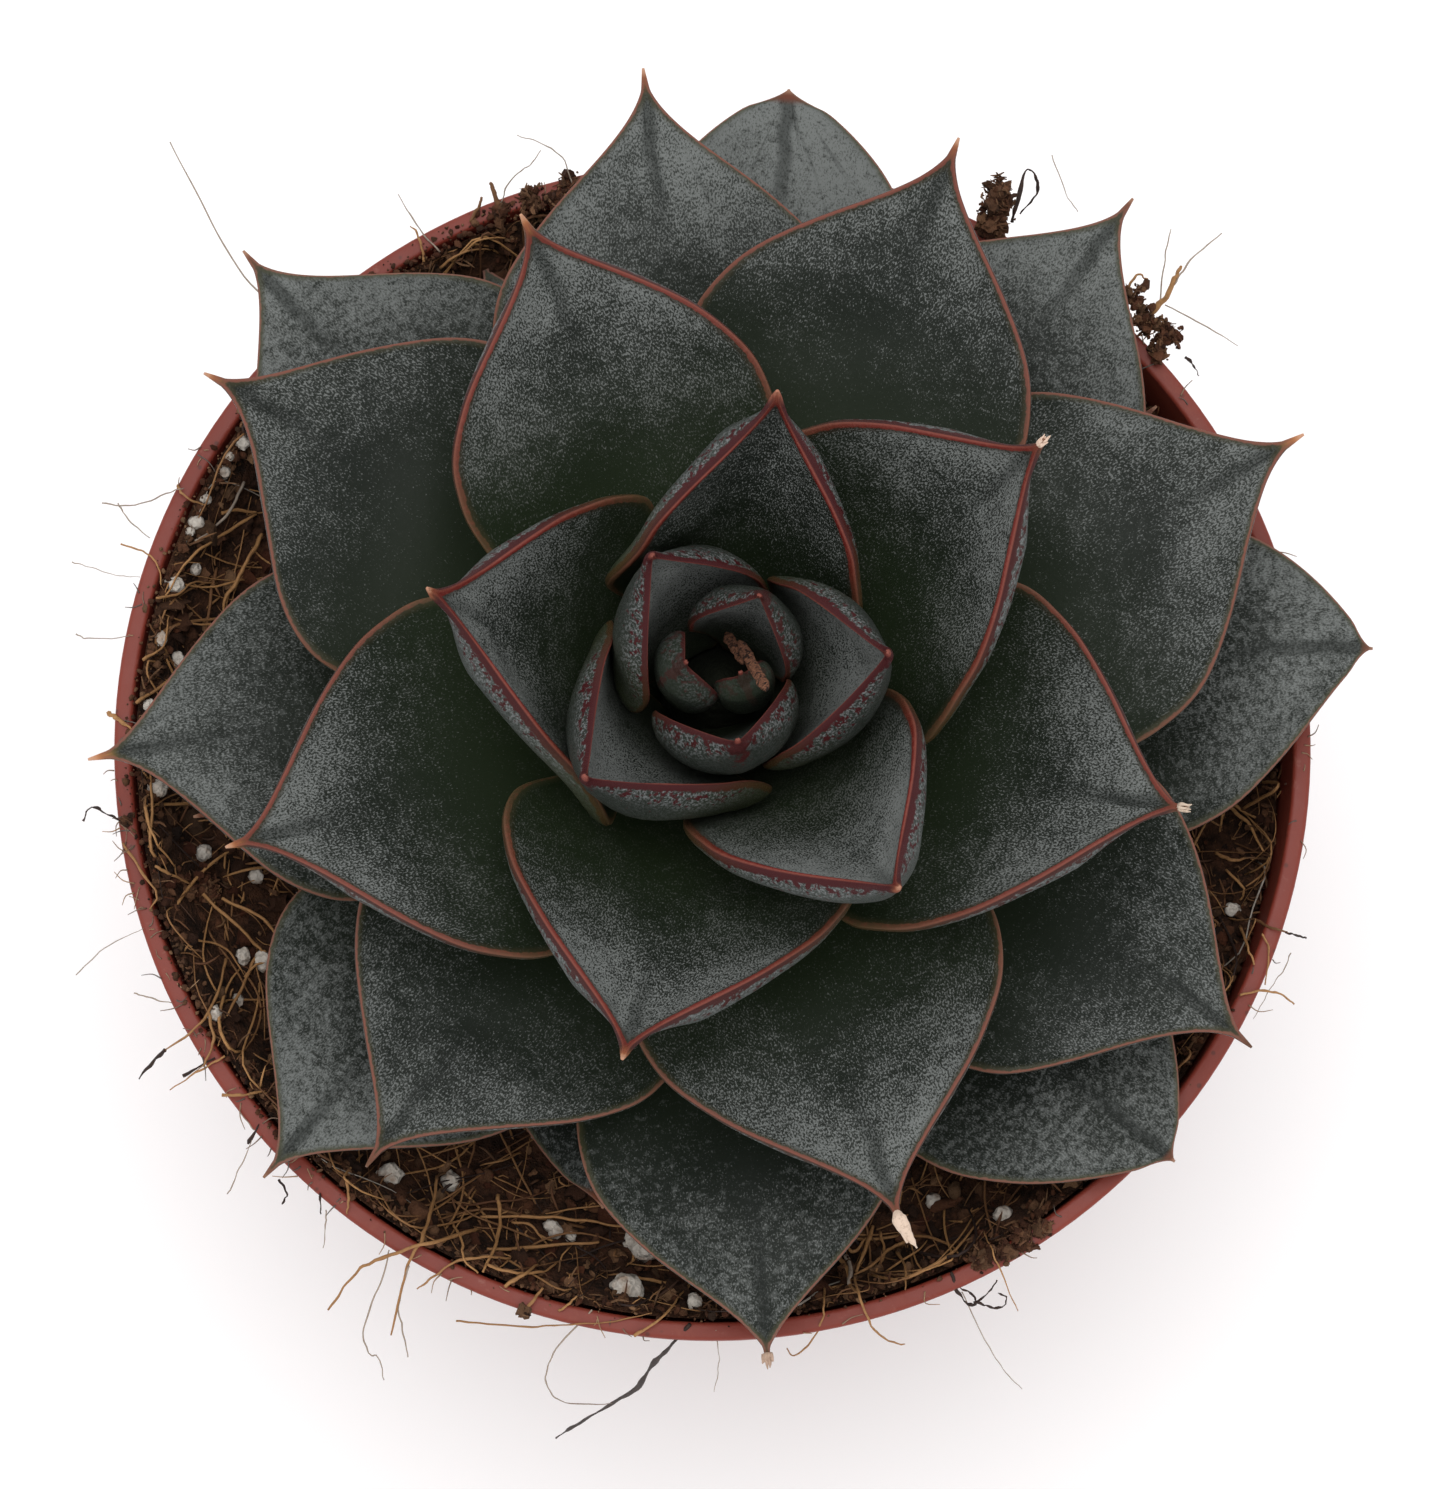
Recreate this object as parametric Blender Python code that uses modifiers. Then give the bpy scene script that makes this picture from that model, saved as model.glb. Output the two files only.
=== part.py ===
"""Potted echeveria: a spiral rosette of 34 pointed leaves on a short stem, in a soil-filled nursery pot.

Metres, +Z up. The origin is the centre of the pot's underside, and -Y is the side that a viewer stands at.
"""
import math

import bmesh
import bpy
from mathutils import Matrix, Vector, noise

MM = 0.001
GAP = 0.3 * MM
MERGE = 0.00001
NEARLY_ZERO = 1e-6

# Pot: a round nursery pot with a straight collar round its rim.
RIM_RADIUS = 52.5 * MM
POT_HEIGHT = 85 * MM
RIM_THICKNESS = 1.6 * MM
COLLAR_HEIGHT = 13 * MM
COLLAR_TAPER = 0.9 * MM
COLLAR_STEP = 2.2 * MM
WALL = 1.2 * MM
BASE_RADIUS = 37 * MM
FLOOR = 1.6 * MM
FOOT_WIDTH = 4 * MM
CENTRE_PAD_RADIUS = 13 * MM
FLOOR_RAISE = 2.5 * MM
HOLE_COUNT = 8
HOLE_RADIUS = 3.2 * MM
HOLE_STEPS = 16
DRILL_LENGTH = 6.4 * MM
POT_STEPS = 64

# Soil: fills the pot to a little under the rim.
SOIL_DEPTH_CENTRE = 11.5 * MM
SOIL_DEPTH_EDGE = 4.2 * MM
SOIL_TILT = 1.8 * MM
SOIL_EDGE_RISE = 4
SOIL_RELIEF = 0.8 * MM
SOIL_CLOD = 6 * MM
SOIL_RINGS = 12
SOIL_STEPS = 48

# Stem: the short axis that every leaf grows from, and the root stub that holds it in the soil.
PLANT_X = 0.8 * MM
PLANT_Y = 1.0 * MM
STEM_RADIUS = 5.6 * MM
STEM_TOP = 24.5 * MM
STEM_APEX_LENGTH = 16 * MM
STEM_APEX_POWER = 0.7
STEM_APEX_SHARES = (0.06, 0.2, 0.4, 0.7, 1.0)
ROOT_DEPTH = 26 * MM
ROOT_END_RADIUS = 2.6 * MM
STEM_STEPS = 20

# Leaves: number 1 is the youngest, in the heart, and each next one stands a golden angle further round.
GOLDEN_ANGLE = 137.5
FIRST_AZIMUTH = 329.0
TOP_LEAF_HEIGHT = 23.6 * MM
LEAF_SPACING = 0.97 * MM
LEAF_RING = 12
LEAF_ROWS = 11
ROW_CROWDING = 1.25
FLANK_PER_WIDTH = 1.45
LONGEST_FLANK = 0.72
OUTLINE_BEND = 2.2
SHARP_POINT = 2.15
BASE_WIDTH_SHARE = 0.3
BASE_STEM_SHARE = 0.8
BASE_FLARE = 1.3
POINT_RADIUS = 0.35 * MM
POINT_TAPER_WIDTH = 0.45
CUP_TAPER_CHANGE = 0.4
THIN_END_SHARE = 0.75
THICK_SPAN = 0.9
BACK_BULGE = 3.0
EDGE_ROUNDNESS = 0.5
CUP_EDGE_CHANGE = 0.3
FOLD_AT_BASE = 0.25
FOLD_GROWTH = 1.5
CREASE_SOFTNESS = 0.55
CREASE_FOLD_LIMIT = 1.25
CUP_WRAP = 1.45

# Edges sharper than this are shown sharp, in degrees.
SHARP_POT_EDGE = 35
SHARP_SOIL_EDGE = 50
SHARP_STEM_EDGE = 50
SHARP_LEAF_EDGE = 60

# Base colours.
POT_COLOUR = (0.25, 0.07, 0.05)
SOIL_COLOUR = (0.045, 0.025, 0.015)
STEM_COLOUR = (0.16, 0.12, 0.06)
LEAF_COLOUR = (0.10, 0.14, 0.12)

# How far each leaf's tip is turned from the golden angle's place, in degrees, and how far it reaches from the
# stem's axis, in millimetres.
LEAF_TIPS = (
    (-10, 2.0), (4, 2.9), (1, 5.3), (3, 7.8), (-11, 9), (-5, 13.4), (1, 15.5), (-9, 21), (-4, 24.8),
    (-2, 24.2), (-1, 31.3), (0, 34.3), (-5, 41), (1, 40), (-4, 43.5), (0, 50.3), (-1, 48), (-3, 51.5),
    (10, 54.2), (-3, 50), (-2, 55.8), (5, 53.8), (1, 54.4), (5, 57.6), (5, 56), (4, 58.7), (12, 56.8),
    (9, 56), (5, 57), (14, 54.7), (25, 47), (11, 48.8), (7, 43), (5, 48.8),
)

# How the leaves change down the spiral: leaf number, height of the tip over the rim (mm), slope at the base and
# at the tip (degrees), half width (mm), fold of each half (degrees) and thickness (mm).
STAGES = (
    (1, 36, 64, 108, 2.7, 46, 1.7),
    (3, 39, 76, 95, 6.0, 50, 2.1),
    (5, 42, 73, 94, 9.4, 52, 2.5),
    (7, 42, 65, 86, 12.1, 52, 3.0),
    (9, 44, 54, 76, 14.5, 40, 3.2),
    (11, 40, 44, 62, 16.0, 30, 3.5),
    (14, 32, 32, 42, 17.0, 18, 3.6),
    (18, 22, 20, 26, 16.3, 12, 3.4),
    (22, 14, 11, 14, 15.5, 10, 3.2),
    (26, 8, 4, 8, 14.8, 8, 3.0),
    (30, 3.5, 0, 6, 13.8, 7, 2.8),
    (31, -2.5, -3, 4, 13.0, 5, 2.4),
    (34, -4, -3, 4, 12.5, 5, 2.4),
)

# Leaves that lean: the roll about the midrib lifts the margin on the counterclockwise side (degrees).
ROLLS = {3: 6, 4: 2, 5: 17, 6: 7, 7: -3, 8: 12, 10: 9, 11: -4, 14: -6, 15: 3}

# Leaves whose midrib swings: how far the tip heads round from the straight line, counterclockwise (degrees).
SWINGS = {5: 10, 8: 5, 9: 10, 13: 12, 15: 6, 18: 12, 20: 5, 22: -12, 23: 12, 26: -6, 27: -15, 28: 4}

# Leaves that are narrower or wider than their stage: half width (mm).
HALF_WIDTHS = {
    2: 3.8, 4: 7.5, 6: 10.2, 8: 13.5, 9: 13.4, 10: 15.9, 13: 15.1, 16: 15.9, 19: 16.6, 25: 14.3, 29: 13.0,
    33: 13.8,
}

# Leaves of the bud: how much of their section is a round cup instead of a fold, from 0 to 1.
CUPS = {1: 1.0, 2: 1.0, 3: 1.0, 4: 1.0, 5: 1.0, 6: 0.85, 7: 0.75}

# Leaves with a blunter tip than the rest.
BLUNT_POINTS = {27: 1.1, 29: 0.8, 30: 1.0, 33: 0.8}


def clear_scene():
    for obj in list(bpy.data.objects):
        bpy.data.objects.remove(obj)


def material(name, colour, roughness):
    made = bpy.data.materials.new(name)
    made.use_nodes = True
    shader = made.node_tree.nodes["Principled BSDF"]
    shader.inputs["Base Color"].default_value = (*colour, 1.0)
    shader.inputs["Roughness"].default_value = roughness
    return made


def collection(name):
    made = bpy.data.collections.new(name)
    bpy.context.scene.collection.children.link(made)
    return made


def add_object(name, mesh, group, finish=None):
    obj = bpy.data.objects.new(name, mesh)
    if finish:
        obj.data.materials.append(finish)
    group.objects.link(obj)
    return obj


def shade_round(mesh, angle):
    mesh.shade_smooth()
    mesh.set_sharp_from_angle(angle=math.radians(angle))


def turned_mesh(name, profile, steps):
    """A profile of (radius, height) points that starts and ends on the Z axis, turned round that axis."""
    wire = bmesh.new()
    points = [wire.verts.new((radius, 0, height)) for radius, height in profile]
    for start, end in zip(points, points[1:]):
        wire.edges.new((start, end))
    mesh = bpy.data.meshes.new(name)
    wire.to_mesh(mesh)
    wire.free()
    guide = bpy.data.objects.new(name, mesh)
    bpy.context.scene.collection.objects.link(guide)
    screw = guide.modifiers.new("turn", "SCREW")
    screw.steps = steps
    screw.render_steps = steps
    screw.use_merge_vertices = True
    screw.merge_threshold = MERGE
    turned = bpy.data.meshes.new_from_object(guide.evaluated_get(bpy.context.evaluated_depsgraph_get()))
    bpy.data.objects.remove(guide)
    turned.name = name
    return turned


def cut(obj, cutter):
    boolean = obj.modifiers.new("cut", "BOOLEAN")
    boolean.operation = "DIFFERENCE"
    boolean.object = cutter


def make_cutter(name, mesh, group):
    cutter = add_object(name, mesh, group)
    cutter.hide_render = True
    cutter.display_type = "WIRE"
    return cutter


def wall_radius(height):
    """Outer radius of the tapered wall, from the base up to the collar."""
    top_height = POT_HEIGHT - COLLAR_HEIGHT
    top_radius = RIM_RADIUS - COLLAR_TAPER - COLLAR_STEP
    return BASE_RADIUS + (top_radius - BASE_RADIUS) * height / top_height


def collar_inside(height):
    """Inner radius of the slightly tapered collar."""
    below_rim = (POT_HEIGHT - height) / COLLAR_HEIGHT
    return RIM_RADIUS - RIM_THICKNESS - COLLAR_TAPER * below_rim


def pot_inside(clearance):
    """The pot's inner side, moved in by a clearance: (radius, height) points from the rim down to the floor."""
    collar = POT_HEIGHT - COLLAR_HEIGHT + RIM_THICKNESS
    ledge = POT_HEIGHT - COLLAR_HEIGHT - RIM_THICKNESS
    floor = FLOOR_RAISE + FLOOR
    return [
        (collar_inside(POT_HEIGHT) - clearance, POT_HEIGHT),
        (collar_inside(collar) - clearance, collar + clearance),
        (wall_radius(ledge) - WALL - clearance, ledge + clearance),
        (wall_radius(floor) - WALL - clearance, floor + clearance),
    ]


def make_pot(group, cutters, finish):
    collar = POT_HEIGHT - COLLAR_HEIGHT
    outside = [
        (RIM_RADIUS, POT_HEIGHT),
        (RIM_RADIUS - COLLAR_TAPER, collar),
        (wall_radius(collar), collar),
        (BASE_RADIUS, 0),
    ]
    underside = [
        (BASE_RADIUS - FOOT_WIDTH, 0),
        (BASE_RADIUS - FOOT_WIDTH - FLOOR_RAISE, FLOOR_RAISE),
        (CENTRE_PAD_RADIUS + FLOOR_RAISE, FLOOR_RAISE),
        (CENTRE_PAD_RADIUS, 0),
        (0, 0),
    ]
    inside = pot_inside(0)[::-1]
    mesh = turned_mesh("pot", [(0, inside[0][1])] + inside + outside + underside, POT_STEPS)
    shade_round(mesh, SHARP_POT_EDGE)
    pot = add_object("pot", mesh, group, finish)
    middle = (BASE_RADIUS - FOOT_WIDTH + CENTRE_PAD_RADIUS) / 2
    drill = bmesh.new()
    for number in range(HOLE_COUNT):
        turn = 2 * math.pi * (number + 0.5) / HOLE_COUNT
        place = Matrix.Translation((middle * math.cos(turn), middle * math.sin(turn), FLOOR_RAISE))
        bmesh.ops.create_cone(
            drill, cap_ends=True, segments=HOLE_STEPS, radius1=HOLE_RADIUS, radius2=HOLE_RADIUS,
            depth=DRILL_LENGTH, matrix=place)
    holes = bpy.data.meshes.new("drain_holes")
    drill.to_mesh(holes)
    drill.free()
    cut(pot, make_cutter("drain_holes", holes, cutters))


def soil_level(x, y):
    """Height of the soil's top: a shallow bowl, higher on the -X side, with low clods."""
    share = min(1.0, math.hypot(x, y) / RIM_RADIUS)
    depth = SOIL_DEPTH_CENTRE + (SOIL_DEPTH_EDGE - SOIL_DEPTH_CENTRE) * share ** SOIL_EDGE_RISE
    clods = SOIL_RELIEF * share * noise.noise(Vector((x, y, 0)) / SOIL_CLOD)
    return POT_HEIGHT - depth - SOIL_TILT * x / RIM_RADIUS + clods


def make_soil(group, cutters, finish):
    side = pot_inside(GAP)[1:]
    top_radius = collar_inside(POT_HEIGHT - SOIL_DEPTH_EDGE) - GAP
    top = [(top_radius * ring / SOIL_RINGS, POT_HEIGHT - SOIL_DEPTH_EDGE) for ring in range(SOIL_RINGS + 1)]
    mesh = turned_mesh("soil", top + side + [(0, side[-1][1])], SOIL_STEPS)
    for vertex in mesh.vertices:
        if vertex.co.z < POT_HEIGHT - SOIL_DEPTH_EDGE - GAP:
            continue
        vertex.co.z = soil_level(vertex.co.x, vertex.co.y)
        if vertex.co.xy.length > top_radius - GAP:
            spread = collar_inside(vertex.co.z) - GAP - top_radius
            vertex.co.xy += spread * vertex.co.xy.normalized()
    shade_round(mesh, SHARP_SOIL_EDGE)
    soil = add_object("soil", mesh, group, finish)
    hole = turned_mesh("root_hole", stem_profile(GAP), STEM_STEPS)
    hole.transform(Matrix.Translation((PLANT_X, PLANT_Y, 0)))
    cut(soil, make_cutter("root_hole", hole, cutters))


def stem_radius(height):
    """The stem's radius at a height over the rim: a cylinder with a rounded tip."""
    below_top = min(STEM_APEX_LENGTH, max(0.0, STEM_TOP - height))
    return STEM_RADIUS * math.sin(math.pi / 2 * (below_top / STEM_APEX_LENGTH) ** STEM_APEX_POWER)


def stem_profile(clearance):
    """(Radius, height) points from the growing tip down to the end of the root, moved out by a clearance."""
    heights = [STEM_TOP - STEM_APEX_LENGTH * share for share in STEM_APEX_SHARES]
    points = [(stem_radius(height) + clearance, POT_HEIGHT + height) for height in heights]
    bottom = POT_HEIGHT - ROOT_DEPTH - clearance
    root = [(STEM_RADIUS + clearance, POT_HEIGHT - SOIL_DEPTH_CENTRE), (ROOT_END_RADIUS + clearance, bottom)]
    return [(0, POT_HEIGHT + STEM_TOP + clearance)] + points + root + [(0, bottom)]


def make_stem(group, finish):
    mesh = turned_mesh("stem", stem_profile(0), STEM_STEPS)
    mesh.transform(Matrix.Translation((PLANT_X, PLANT_Y, 0)))
    shade_round(mesh, SHARP_STEM_EDGE)
    add_object("stem", mesh, group, finish)


def ease(x):
    """0 to 1 with level ends."""
    x = min(1.0, max(0.0, x))
    return x * x * (3 - 2 * x)


def direction(azimuth, slope):
    """Unit vector that points to an azimuth and rises at a slope, both in degrees."""
    turn, rise = math.radians(azimuth), math.radians(slope)
    return Vector((math.cos(turn) * math.cos(rise), math.sin(turn) * math.cos(rise), math.sin(rise)))


def stage(number):
    """The stage values of one leaf, taken between the rows of STAGES."""
    for low, high in zip(STAGES, STAGES[1:]):
        if number <= high[0]:
            share = (number - low[0]) / (high[0] - low[0])
            return [a + (b - a) * share for a, b in zip(low[1:], high[1:])]
    return list(STAGES[-1][1:])


class Leaf:
    """One leaf: a midrib curve from the stem to the tip, and a section that changes along it."""

    def __init__(self, number):
        turn, reach = LEAF_TIPS[number - 1]
        tip_height, base_slope, tip_slope, half_width, fold, thickness = stage(number)
        base_azimuth = FIRST_AZIMUTH - GOLDEN_ANGLE * (number - 1)
        base_height = TOP_LEAF_HEIGHT - LEAF_SPACING * (number - 1)
        axis = Vector((PLANT_X, PLANT_Y, POT_HEIGHT))
        start = stem_radius(base_height) + GAP
        self.base = axis + start * direction(base_azimuth, 0) + Vector((0, 0, base_height))
        self.tip = axis + reach * MM * direction(base_azimuth + turn, 0) + Vector((0, 0, tip_height * MM))
        chord = self.tip - self.base
        heading = math.degrees(math.atan2(chord.y, chord.x))
        handle = chord.length / 3
        self.base_handle = self.base + handle * direction(base_azimuth, base_slope)
        self.tip_handle = self.tip - handle * direction(heading + SWINGS.get(number, 0), tip_slope)
        self.sideways = direction(heading + 90, 0)
        self.half_width = HALF_WIDTHS.get(number, half_width) * MM
        self.fold = math.radians(fold)
        self.cup = CUPS.get(number, 0)
        self.roll = math.radians(ROLLS.get(number, 0))
        self.thickness = thickness * MM
        self.point_power = BLUNT_POINTS.get(number, SHARP_POINT)
        stem_limit = BASE_STEM_SHARE * stem_radius(base_height)
        self.base_half_width = min(BASE_WIDTH_SHARE * self.half_width, stem_limit)
        self.widest = 1 - min(LONGEST_FLANK, FLANK_PER_WIDTH * self.half_width / chord.length)

    def frame(self, t):
        """Place on the midrib, t from 0 at the stem to 1 at the tip, with the directions across and up."""
        a, b, c, d = self.base, self.base_handle, self.tip_handle, self.tip
        s = 1 - t
        place = s**3 * a + 3 * s * s * t * b + 3 * s * t * t * c + t**3 * d
        along = (s * s * (b - a) + 2 * s * t * (c - b) + t * t * (d - c)).normalized()
        level = (self.sideways - self.sideways.dot(along) * along).normalized()
        upward = along.cross(level)
        roll = self.roll * ease(2 * t)
        across = math.cos(roll) * level + math.sin(roll) * upward
        return place, across, along.cross(across)

    def width(self, t):
        """Half width at t: narrow at the stem, widest past the middle, with hollow flanks to a sharp tip."""
        if t < self.widest:
            share = math.sin(math.pi / 2 * t / self.widest) ** BASE_FLARE
            return self.base_half_width + (self.half_width - self.base_half_width) * share
        q = (t - self.widest) / (1 - self.widest)
        return max(POINT_RADIUS, self.half_width * (1 - q**OUTLINE_BEND) ** self.point_power)

    def depth(self, t):
        """Thickness under the midrib at t: it tapers to the point."""
        swell = THIN_END_SHARE + (1 - THIN_END_SHARE) * math.sin(math.pi * min(1.0, t / THICK_SPAN))
        taper_width = (POINT_TAPER_WIDTH + CUP_TAPER_CHANGE * self.cup) * self.half_width
        taper = min(1.0, self.width(t) / taper_width) if t > self.widest else 1.0
        return max(2 * POINT_RADIUS, self.thickness * swell * taper)

    def skin(self, t, angle):
        """A point of the skin: angle 0 and pi are the margins, and the half turn between them is the face."""
        place, across, upward = self.frame(t)
        width = self.width(t)
        fold = self.fold * ease(FOLD_AT_BASE + FOLD_GROWTH * t)
        side = math.cos(angle)
        softness = CREASE_SOFTNESS * width * (CREASE_FOLD_LIMIT - self.fold)
        x = side * width * math.cos(fold)
        y = math.tan(fold) * (math.hypot(x, softness) - softness)
        wrap = CUP_WRAP * fold
        x += self.cup * (width / wrap * math.sin(wrap * side) - x)
        y += self.cup * (width / wrap * (1 - math.cos(wrap * side)) - y)
        if math.sin(angle) < -NEARLY_ZERO:
            edge_power = EDGE_ROUNDNESS + CUP_EDGE_CHANGE * self.cup
            drop = self.depth(t) * (1 - min(1.0, abs(side)) ** BACK_BULGE) ** edge_power
            lean = (fold + self.cup * (wrap - fold)) * side
            x += drop * math.sin(lean)
            y -= drop * math.cos(lean)
        return place + x * across + y * upward


def leaf_mesh(number):
    """A UV sphere whose rings become the sections of a leaf, with its poles at the stem and at the tip."""
    leaf = Leaf(number)
    shape = bmesh.new()
    bmesh.ops.create_uvsphere(shape, u_segments=LEAF_RING, v_segments=LEAF_ROWS, radius=1.0)
    for vertex in shape.verts:
        row = round((math.pi - math.acos(max(-1.0, min(1.0, vertex.co.z)))) / math.pi * LEAF_ROWS)
        angle = math.atan2(vertex.co.y, vertex.co.x)
        t = 1 - (1 - max(0, row - 1) / (LEAF_ROWS - 1)) ** ROW_CROWDING
        if row == 0:
            vertex.co = (leaf.skin(0, math.pi / 2) + leaf.skin(0, -math.pi / 2)) / 2
        elif row == LEAF_ROWS:
            vertex.co = leaf.tip
        else:
            vertex.co = leaf.skin(t, angle)
    bmesh.ops.recalc_face_normals(shape, faces=shape.faces)
    mesh = bpy.data.meshes.new(f"leaf_{number:02d}")
    shape.to_mesh(mesh)
    shape.free()
    shade_round(mesh, SHARP_LEAF_EDGE)
    return mesh


def main():
    clear_scene()
    plant = collection("potted_echeveria")
    cutters = collection("cutters")
    leaf_skin = material("leaf", LEAF_COLOUR, 0.5)
    make_pot(plant, cutters, material("terracotta_plastic", POT_COLOUR, 0.55))
    make_soil(plant, cutters, material("soil", SOIL_COLOUR, 0.95))
    make_stem(plant, material("stem", STEM_COLOUR, 0.8))
    for number in range(1, len(LEAF_TIPS) + 1):
        add_object(f"leaf_{number:02d}", leaf_mesh(number), plant, leaf_skin)


main()
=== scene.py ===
"""Potted echeveria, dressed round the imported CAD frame. Metres, +Z up, and the viewer stands at -Y."""

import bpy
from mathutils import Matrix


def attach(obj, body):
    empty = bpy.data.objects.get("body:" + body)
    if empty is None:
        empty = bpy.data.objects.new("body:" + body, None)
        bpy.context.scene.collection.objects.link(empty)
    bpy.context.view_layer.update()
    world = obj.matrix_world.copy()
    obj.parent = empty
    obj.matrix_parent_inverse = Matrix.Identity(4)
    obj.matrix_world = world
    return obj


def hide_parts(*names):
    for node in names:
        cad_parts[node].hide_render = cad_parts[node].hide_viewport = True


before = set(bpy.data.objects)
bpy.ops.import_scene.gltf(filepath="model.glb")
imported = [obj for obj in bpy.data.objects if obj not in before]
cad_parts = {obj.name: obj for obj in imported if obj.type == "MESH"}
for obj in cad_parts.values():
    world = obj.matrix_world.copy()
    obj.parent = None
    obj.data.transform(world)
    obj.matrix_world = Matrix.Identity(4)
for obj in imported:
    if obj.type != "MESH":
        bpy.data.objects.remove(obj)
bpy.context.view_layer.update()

import math

import bmesh
import bpy
import numpy as np
from mathutils import Vector, noise

MM = 0.001
GAP = 0.3 * MM
FULL_TURN = 2 * math.pi
BODY = "root"

# Camera: the photograph's view, in pixels and millimetres.
PHOTO_WIDTH = 1445
PHOTO_HEIGHT = 1489
SENSOR = 36.0
LENS = 150.0
CAMERA_ELEVATION = 80.4
CAMERA_DISTANCE = 543.8 * MM
CAMERA_AIM = np.array((0.88, -0.34, 85)) * MM
CLIP_START = 0.01
CLIP_END = 20

# Studio, in metres and watts.
FLOOR_SIZE = 3.0
WORLD_STRENGTH = 1.12
KEY_PLACE = (-0.03, 0.15, 1.3)
KEY_AIM = (0, 0, 0.09)
KEY_SIZE = 0.7
KEY_POWER = 5.2

# Pot, as in the CAD source.
RIM_RADIUS = 52.5 * MM
POT_HEIGHT = 85 * MM
RIM_THICKNESS = 1.6 * MM
COLLAR_HEIGHT = 13 * MM
COLLAR_TAPER = 0.9 * MM
COLLAR_STEP = 2.2 * MM
WALL = 1.2 * MM
BASE_RADIUS = 37 * MM
FLOOR = 1.6 * MM
FOOT_WIDTH = 4 * MM
CENTRE_PAD_RADIUS = 13 * MM
FLOOR_RAISE = 2.5 * MM
HOLE_COUNT = 8
HOLE_RADIUS = 3.2 * MM
DRILL_LENGTH = 6.4 * MM
POT_STEPS = 176
POT_ROUNDING = 0.4 * MM
POT_SHARP_ANGLE = 40

# Soil, as in the CAD source.
SOIL_DEPTH_CENTRE = 11.5 * MM
SOIL_DEPTH_EDGE = 4.2 * MM
SOIL_TILT = 1.8 * MM
SOIL_EDGE_RISE = 4
SOIL_RELIEF = 0.8 * MM
SOIL_CLOD = 6 * MM

# Top of the soil with its crumbs and with banks against the wall, where it shows nearly at the rim. Each
# bank has an azimuth, the half angle that it reaches, the angle that it fades over and a share of height.
SOIL_RINGS = 110
SOIL_STEPS = 260
SOIL_SHARP_ANGLE = 55
CRUMB_RELIEF = 0.55 * MM
CRUMB_SIZES = ((2.6 * MM, 1.0), (1.2 * MM, 0.7), (0.55 * MM, 0.45))
CRUMB_SHIFTS = ((0, 0, 0), (7, 0, 0), (0, 9, 0))
BANK_START = 46.6 * MM
BANK_WIDTH = 3.6 * MM
BANK_HEIGHT = 0.8
BANKS = ((3.35, 2.05, 0.9, 1.0), (5.3, 0.75, 0.4, 0.8))

# Stem, as in the CAD source.
PLANT_X = 0.8 * MM
PLANT_Y = 1.0 * MM
STEM_RADIUS = 5.6 * MM
STEM_TOP = 24.5 * MM
STEM_APEX_LENGTH = 16 * MM
STEM_APEX_POWER = 0.7
ROOT_DEPTH = 26 * MM
ROOT_END_RADIUS = 2.6 * MM
STEM_RELIEF = 0.18 * MM
STEM_ROWS = 60
STEM_STEPS = 40

# Leaves, as in the CAD source, with a finer grid.
GOLDEN_ANGLE = 137.5
FIRST_AZIMUTH = 329.0
TOP_LEAF_HEIGHT = 23.6 * MM
LEAF_SPACING = 0.97 * MM
LEAF_RING = 60
LEAF_ROWS = 88
ROW_CROWDING = 1.35
FLANK_PER_WIDTH = 1.45
LONGEST_FLANK = 0.72
OUTLINE_BEND = 2.2
SHARP_POINT = 2.15
BASE_WIDTH_SHARE = 0.3
BASE_STEM_SHARE = 0.8
BASE_FLARE = 1.3
POINT_RADIUS = 0.35 * MM
POINT_TAPER_WIDTH = 0.45
CUP_TAPER_CHANGE = 0.4
THIN_END_SHARE = 0.75
THICK_SPAN = 0.9
BACK_BULGE = 3.0
EDGE_ROUNDNESS = 0.5
CUP_EDGE_CHANGE = 0.3
FOLD_AT_BASE = 0.25
FOLD_GROWTH = 1.5
CREASE_SOFTNESS = 0.55
CREASE_FOLD_LIMIT = 1.25
CUP_WRAP = 1.45

# Fine relief of a leaf's skin: waves in its outline, swells, a bead on the margin and a crease into the
# point. A wave has its rate along the leaf and its share, a swell its rates along and across and its share.
OUTLINE_WAVE = 0.007
OUTLINE_WAVES = ((9, 1.0), (23, 0.6), (47, 0.35))
SWELLS = ((13, 2.6, 1.0), (7, -4.1, 0.7), (29, 5.3, 0.5), (17, -9.7, 0.4))
SWELL_HEIGHT = 0.1 * MM
FULL_RELIEF_WIDTH = 6 * MM
BEAD_HEIGHT = 0.13 * MM
BEAD_PLACE = 0.45 * MM
BEAD_WIDTH = 0.4 * MM
BEAD_NOTCH = 0.16 * MM
CREASE_WIDTH = 0.8 * MM
CREASE_LENGTH = 14 * MM
CREASE_DEPTH = 0.3 * MM
POINT_SLIMMING = 1.8 * MM
POINT_END_SHARE = 0.3
BROKEN_END_SHARE = 0.5
MARGIN_LIMIT = 1e-6
NOISE_SHIFT = 97.0

# Each leaf's tip: its turn away from the spiral (degrees) and its distance from the axis (mm).
LEAF_TIPS = (
    (-10, 2.0), (4, 2.9), (1, 5.3), (3, 7.8), (-11, 9), (-5, 13.4), (1, 15.5), (-9, 21), (-4, 24.8),
    (-2, 24.2), (-1, 31.3), (0, 34.3), (-5, 41), (1, 40), (-4, 43.5), (0, 50.3), (-1, 48), (-3, 51.5),
    (10, 54.2), (-3, 50), (-2, 55.8), (5, 53.8), (1, 54.4), (5, 57.6), (5, 56), (4, 58.7), (12, 56.8),
    (9, 56), (5, 57), (14, 54.7), (25, 47), (11, 48.8), (7, 43), (5, 48.8),
)

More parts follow.
